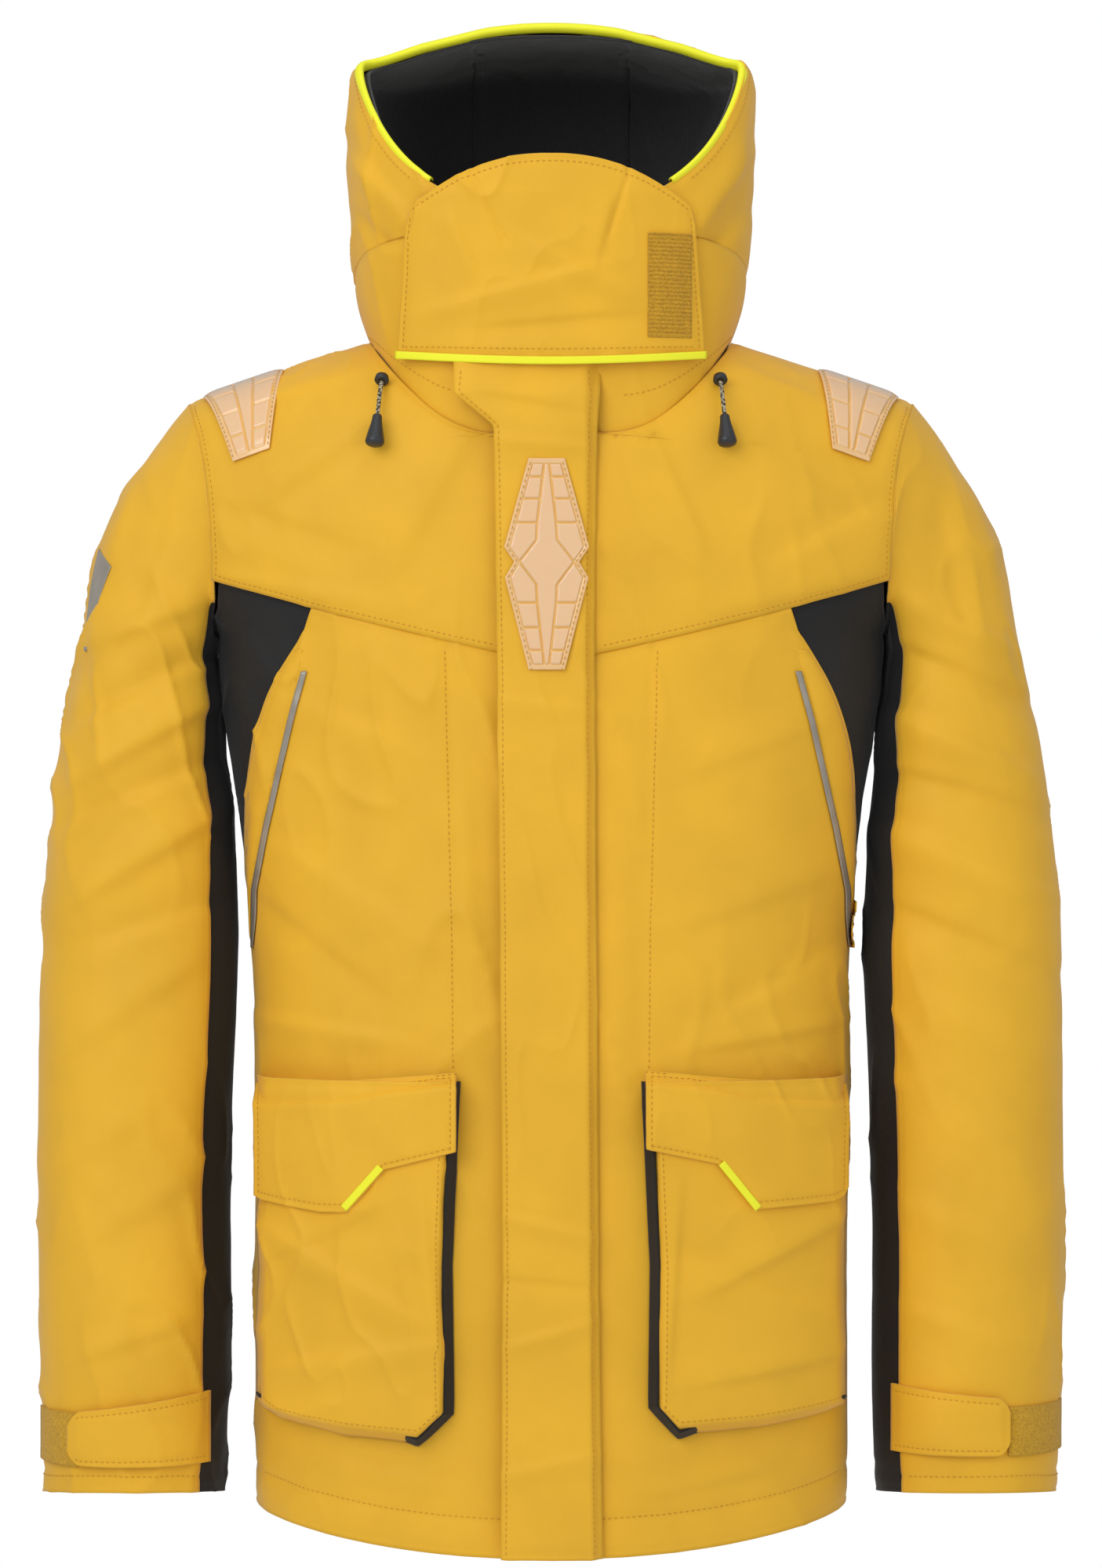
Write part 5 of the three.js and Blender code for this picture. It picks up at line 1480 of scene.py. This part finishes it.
class JACKET_OT_hood(bpy.types.Operator):
    """Make the collar, the hood with its lining and neon binding, and the face guard"""
    bl_idname = "jacket.hood"
    bl_label = "Collar and hood"

    def execute(self, context):
        self.collar()
        for side, sign in SIDES:
            cloth(f"hood_side_{side}", 90, 120, sided(hood_side_place, sign), "shell_yellow",
                  blend=HOOD_BEND, nodes=[f"hood_side_{side}"], heart=under_hood, folds=HOOD_FOLDS)
            lining = sided(lambda u, v: hood_side_place(0.004 + 0.996 * u, v, -0.0062), sign)
            cloth(f"hood_lining_{side}", 50, 60, lining, "fleece_black", blend=HOOD_BEND,
                  nodes=["hood_lining"] if sign > 0 else None, heart=under_hood, rumple=0.8,
                  thick=0.002)
        cloth("hood_centre", 40, 130, hood_centre_place, "shell_yellow", blend=HOOD_BEND,
              nodes=["hood_centre"], heart=under_hood, rumple=0.7)
        cloth("hood_lining_centre", 30, 70, lambda u, v: hood_centre_place(u, v, -0.0072, 0.006),
              "fleece_black", blend=HOOD_BEND, heart=under_hood, rumple=0.7, thick=0.002)
        self.binding()
        self.guard()
        for sign in (-1, 1):
            seam = [hood_centre_place(0.5 + 0.45 * sign, v) for v in steps(0.02, 0.98, 90)]
            stitch_row("hood_centre", TRUNK, seam, HOOD_BEND)
        for side, sign in SIDES:
            hem = [mirror_point(hood_point(rim_turn(z) + 0.085, z), sign)
                   for z in steps(0.966, 1.058, 50)]
            stitch_row(f"hood_side_{side}", TRUNK, hem, HOOD_BEND)
        return {"FINISHED"}

    def collar(self):
        def wall(rest):
            def place(u, v):
                turn = lerp(math.radians(4), 2 * math.pi - math.radians(4), u)
                low = neckline(turn, 0.002 - rest)
                low.z = neckline(turn).z - 0.003
                high = collar_edge(turn, rest)
                point = low.lerp(high, v)
                point.x *= 1 + 0.02 * math.sin(v * math.pi)
                return point
            return place

        cloth("collar_shell", 240, 30, wall(0.0), "shell_yellow", nodes=["collar_shell"],
              rumple=0.8, thick=0.0018)
        cloth("collar_lining", 120, 16, wall(-0.0085), "fleece_black", nodes=["collar_lining"],
              rumple=0.5)
        for turn0, turn1 in ((0.20, 1.35), (-1.35, -0.20)):
            line = []
            for turn in steps(turn0, turn1, 70):
                low, high = neckline(turn, 0.003), collar_edge(turn)
                line.append(low.lerp(high, 0.10))
            stitch_row("collar_shell", TRUNK, line)

    def binding(self):
        path = rim_path(150)

        def place(u, v):
            i = min(int(u * 150), 149)
            k = u * 150 - i
            point = path[i].lerp(path[i + 1], k)
            ahead = path[min(i + 2, 150)] - path[max(i - 1, 0)]
            along = ahead.normalized()
            outward = point - Vector((0, point.y, lerp(HOOD_SHOULDER, 1.0, 0.5)))
            back = along.cross(outward).normalized()
            if back.y < 0:
                back = -back
            rise = back.cross(along).normalized()
            if rise.dot(outward) < 0:
                rise = -rise
            top = smooth((point.z - 1.02) / 0.05)
            swing = lerp(-2.0, 2.0, v)
            wide = lerp(0.0035, 0.0060, top)
            return point + back * (wide * 0.6 - wide * math.cos(swing)) + rise * (
                lerp(0.0024, 0.0036, top) * math.sin(swing) - 0.002)

        cloth("hood_binding", 220, 12, place, "neon_trim", blend=HOOD_BEND, nodes=["hood_binding"],
              heart=lambda p: Vector((p.x * 0.96, p.y + 0.006, p.z - 0.004)), rumple=0.12,
              seam=0.0, thick=0.0008)

    def guard(self):
        heart = lambda p: Vector((p.x * 0.5, HOOD_Y, p.z))
        cloth("face_guard", 150, 100, guard_place, "shell_yellow", body="guard",
              nodes=["face_guard"], heart=heart, folds=GUARD_FOLDS, rumple=0.8, thick=0.0022,
              dents=(guard_dart,))

        def trim(u, v):
            side = 2 * u - 1
            z = 0.8365 + 0.006 * side * side + lerp(-0.0030, 0.0024, v)
            return chin_point(side * 0.1092, z, 0.0086)

        cloth("face_guard_trim", 130, 4, trim, "neon_trim", body="guard", heart=heart,
              nodes=["face_guard_trim"], rumple=0.0, seam=0.0, thick=0.001)

        def patch(u, v):
            return chin_point(lerp(0.068, 0.0985, u), lerp(0.853, 0.925, v), 0.0088)

        def rib(point):
            return 0.0006 * math.sin(point.z * 2 * math.pi / 0.0028)

        cloth("face_guard_patch", 20, 160, patch, "hook_tape", body="guard", heart=heart,
              nodes=["face_guard_patch"], rumple=0.15, thick=0.001, dents=(rib,))
        lines = [[guard_place(u, 0.055) for u in steps(0.03, 0.97, 110)],
                 [guard_place(u, 0.965) for u in steps(0.03, 0.97, 110)],
                 [guard_place(0.018, v) for v in steps(0.06, 0.96, 50)],
                 [guard_place(0.982, v) for v in steps(0.06, 0.96, 50)]]
        for line in lines:
            stitch_row("face_guard", "guard", line)


# ---- Cords, loop, lining and small parts ------------------------------------------------------

CORD_START = Vector((0.119, -0.116, 0.824))
CORD_PATH = [CORD_START, Vector((0.1200, -0.125, 0.813)), Vector((0.1212, -0.131, 0.800)),
             Vector((0.1222, -0.1345, 0.7885))]


class JACKET_OT_cords(bpy.types.Operator):
    """Make the hood drawcords with their eyelets and cord ends"""
    bl_idname = "jacket.cords"
    bl_label = "Drawcords"

    def execute(self, context):
        for side, sign in SIDES:
            self.drawcord(context, side, sign)
        return {"FINISHED"}

    def spun(self, profile, top, down, name, body, nodes):
        """A turned part: profile is (distance along, radius) from the top down."""
        bm = bmesh.new()
        verts = [bm.verts.new((radius, 0, -along)) for along, radius in profile]
        edges = [bm.edges.new(pair) for pair in zip(verts, verts[1:])]
        bmesh.ops.spin(bm, geom=verts + edges, cent=(0, 0, 0), axis=(0, 0, 1),
                       angle=2 * math.pi, steps=28, use_merge=True)
        bmesh.ops.remove_doubles(bm, verts=bm.verts, dist=1e-6)
        bmesh.ops.recalc_face_normals(bm, faces=bm.faces)
        turn = (-down).to_track_quat("Z", "Y").to_matrix().to_4x4()
        bmesh.ops.transform(bm, matrix=Matrix.Translation(top) @ turn, verts=bm.verts)
        return keep(bm, name, "moulded_plastic", body, nodes)

    def drawcord(self, context, side, sign):
        path = [mirror_point(point, sign) for point in CORD_PATH]
        radius = context.scene.jacket_sizes.cord_diameter / 2
        line = even_path(smooth_path(path, 12), 60)
        bm = bmesh.new()
        ring = bmesh.ops.create_circle(bm, cap_ends=False, segments=14, radius=radius)["verts"]
        along = (line[1] - line[0]).normalized()
        turn = along.to_track_quat("Z", "Y").to_matrix().to_4x4()
        bmesh.ops.transform(bm, matrix=Matrix.Translation(line[0]) @ turn, verts=ring)
        rim = [edge for edge in bm.edges]
        bmesh.ops.contextual_create(bm, geom=rim)
        for a, b in zip(line, line[1:]):
            moved = bmesh.ops.extrude_edge_only(bm, edges=rim)["geom"]
            verts = [item for item in moved if isinstance(item, bmesh.types.BMVert)]
            rim = [item for item in moved if isinstance(item, bmesh.types.BMEdge)]
            bmesh.ops.translate(bm, verts=verts, vec=b - a)
        bmesh.ops.contextual_create(bm, geom=rim)
        bmesh.ops.recalc_face_normals(bm, faces=bm.faces)
        for vert in bm.verts:
            twist = noise.noise(vert.co * 900)
            vert.co += vert.normal * 0.00025 * twist
        length = run_length(line)
        cord = keep(bm, f"drawcord_{side}", "cord_braid", f"cord_{side}", [f"drawcord_{side}"])
        down = (path[-1] - path[-2]).normalized()
        bell = [(0.0, 0.0), (0.0, 0.0026), (0.0012, 0.0034), (0.0040, 0.0036), (0.0080, 0.0043),
                (0.0135, 0.0056), (0.0185, 0.0066), (0.0205, 0.0068), (0.0222, 0.0060),
                (0.0232, 0.0040), (0.0236, 0.0)]
        end = self.spun(bell, path[-2] + down * 0.0004, down, f"cord_end_{side}",
                        f"cord_{side}", [f"cord_end_{side}"])
        up = (path[0] - path[1]).normalized()
        eyelet = [(-0.0050, 0.0018), (-0.0050, 0.0046), (-0.0015, 0.0052), (-0.0004, 0.0046),
                  (-0.0004, 0.0018), (-0.0050, 0.0018)]
        self.spun(eyelet, path[0], -up, f"cord_exit_{side}", TRUNK, [f"cord_exit_{side}"])
        hang(path[0])
        [hang(p) for p in line]


def smooth_path(stops, count):
    """A smooth path through the stops, with count steps between each two."""
    out = []
    for i in range(len(stops) - 1):
        a, b = stops[max(i - 1, 0)], stops[i]
        c, d = stops[i + 1], stops[min(i + 2, len(stops) - 1)]
        for k in steps(0, 1, count)[:-1]:
            out.append(0.5 * ((2 * b) + (c - a) * k + (2 * a - 5 * b + 4 * c - d) * k * k
                              + (3 * b - a - 3 * c + d) * k ** 3))
    return out + [stops[-1]]


class JACKET_OT_inside(bpy.types.Operator):
    """Make the body lining, the hanger loop and the sleeve reflector, and finish what is left"""
    bl_idname = "jacket.inside"
    bl_label = "Lining and small parts"

    def execute(self, context):
        self.lining()
        self.loop()
        self.reflector()
        self.finish_frame()
        return {"FINISHED"}

    def lining(self):
        def place(u, v):
            z = lerp(0.030, 0.800, v)
            start = turn_at(0.030, z)
            turn = lerp(start, 2 * math.pi - start, u)
            point = body_point(turn, min(z, 0.69), -0.0135)
            if z > 0.69:
                shrink = 1 - 0.30 * ((z - 0.69) / 0.11) ** 2
                point = Vector((point.x * shrink, point.y * (1 - 0.12 * ((z - 0.69) / 0.11) ** 2), z))
                limit = body_depth(point.x, z) - 0.012
                point.y = clamp(point.y, -limit, limit)
            return point

        cloth("body_lining", 160, 140, place, "shell_black", nodes=["body_lining"], rumple=0.9)

    def loop(self):
        path = smooth_path([Vector((x, HOOD_Y + HOOD_BACK - y, NAPE_Z - z)) for x, y, z in (
            (-0.024, 0.006, 0.016), (-0.015, 0.009, 0.005), (0.0, 0.012, 0.0),
            (0.015, 0.009, 0.005), (0.024, 0.006, 0.016))], 12)
        line = even_path(path, 60)

        def place(u, v):
            i = min(int(u * 60), 59)
            point = line[i].lerp(line[i + 1], u * 60 - i)
            return point + Vector((0, lerp(-0.0045, 0.0035, v), 0.0003 * math.sin(v * math.pi)))

        cloth("hanger_loop", 60, 8, place, "shell_black", nodes=["hanger_loop"], rumple=0.1,
              seam=0.0002, heart=lambda p: Vector((0, p.y, NAPE_Z - 0.03)))

    def reflector(self):
        low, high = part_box("sleeve_reflector")
        middle_z = (low.z + high.z) / 2 - HEM_Z

        def place(u, v):
            z = middle_z + lerp(-0.034, 0.034, v)
            half = math.radians(lerp(2, 14, v))
            turn = math.radians(34)
            point = sleeve_point(self.find(z, turn), turn + lerp(-half, half, u), 0.0030)
            return Vector((-point.x, point.y, point.z))

        cloth("sleeve_reflector", 20, 40, place, "reflective_tape", body=TRUNK,
              nodes=["sleeve_reflector"], heart=sleeve_heart(-1), rumple=0.1, seam=0.0,
              thick=0.0005, blend=sleeve_bend("right", -1))

    def find(self, z, turn):
        """Share along the sleeve at which its line at a turn reaches height z."""
        low, high = 0.0, 1.0
        for _ in range(30):
            middle = (low + high) / 2
            if sleeve_point(middle, turn).z > z:
                low = middle
            else:
                high = middle
        return low

    def finish_frame(self):
        """Finishes the CAD nodes that no piece stands for."""
        slots = {row["node"]: row["material_slot"] for row in frame["record"]["subparts"]}
        for name, node in frame["nodes"].items():
            slot = slots.get(name, "shell_yellow")
            node.data.materials.clear()
            node.data.materials.append(finishes()[slot])


PIECE_OPERATORS = (
    JACKET_OT_stage, JACKET_OT_body_panels, JACKET_OT_sleeves,
    JACKET_OT_closure, JACKET_OT_pockets, JACKET_OT_hood, JACKET_OT_cords,
    JACKET_OT_inside, JACKET_OT_stitching,
)


class JACKET_PT_panel(bpy.types.Panel):
    """Lists the jacket's operators in the sidebar"""
    bl_label = "Foul Weather Jacket"
    bl_space_type = "VIEW_3D"
    bl_region_type = "UI"
    bl_category = "Jacket"

    def draw(self, context):
        for operator in PIECE_OPERATORS:
            self.layout.operator(operator.bl_idname)
        for group in (context.scene.jacket_colours, context.scene.jacket_sizes):
            for name in group.__annotations__:
                self.layout.prop(group, name)


CLASSES = (JacketColours, JacketSizes, *PIECE_OPERATORS, JACKET_PT_panel)


def register():
    for cls in CLASSES:
        bpy.utils.register_class(cls)
    bpy.types.Scene.jacket_colours = bpy.props.PointerProperty(type=JacketColours)
    bpy.types.Scene.jacket_sizes = bpy.props.PointerProperty(type=JacketSizes)


def unregister():
    del bpy.types.Scene.jacket_sizes
    del bpy.types.Scene.jacket_colours
    for cls in reversed(CLASSES):
        bpy.utils.unregister_class(cls)


def main():
    register()
    for operator in PIECE_OPERATORS:
        group, name = operator.bl_idname.split(".")
        getattr(getattr(bpy.ops, group), name)()


if __name__ == "__main__":
    main()
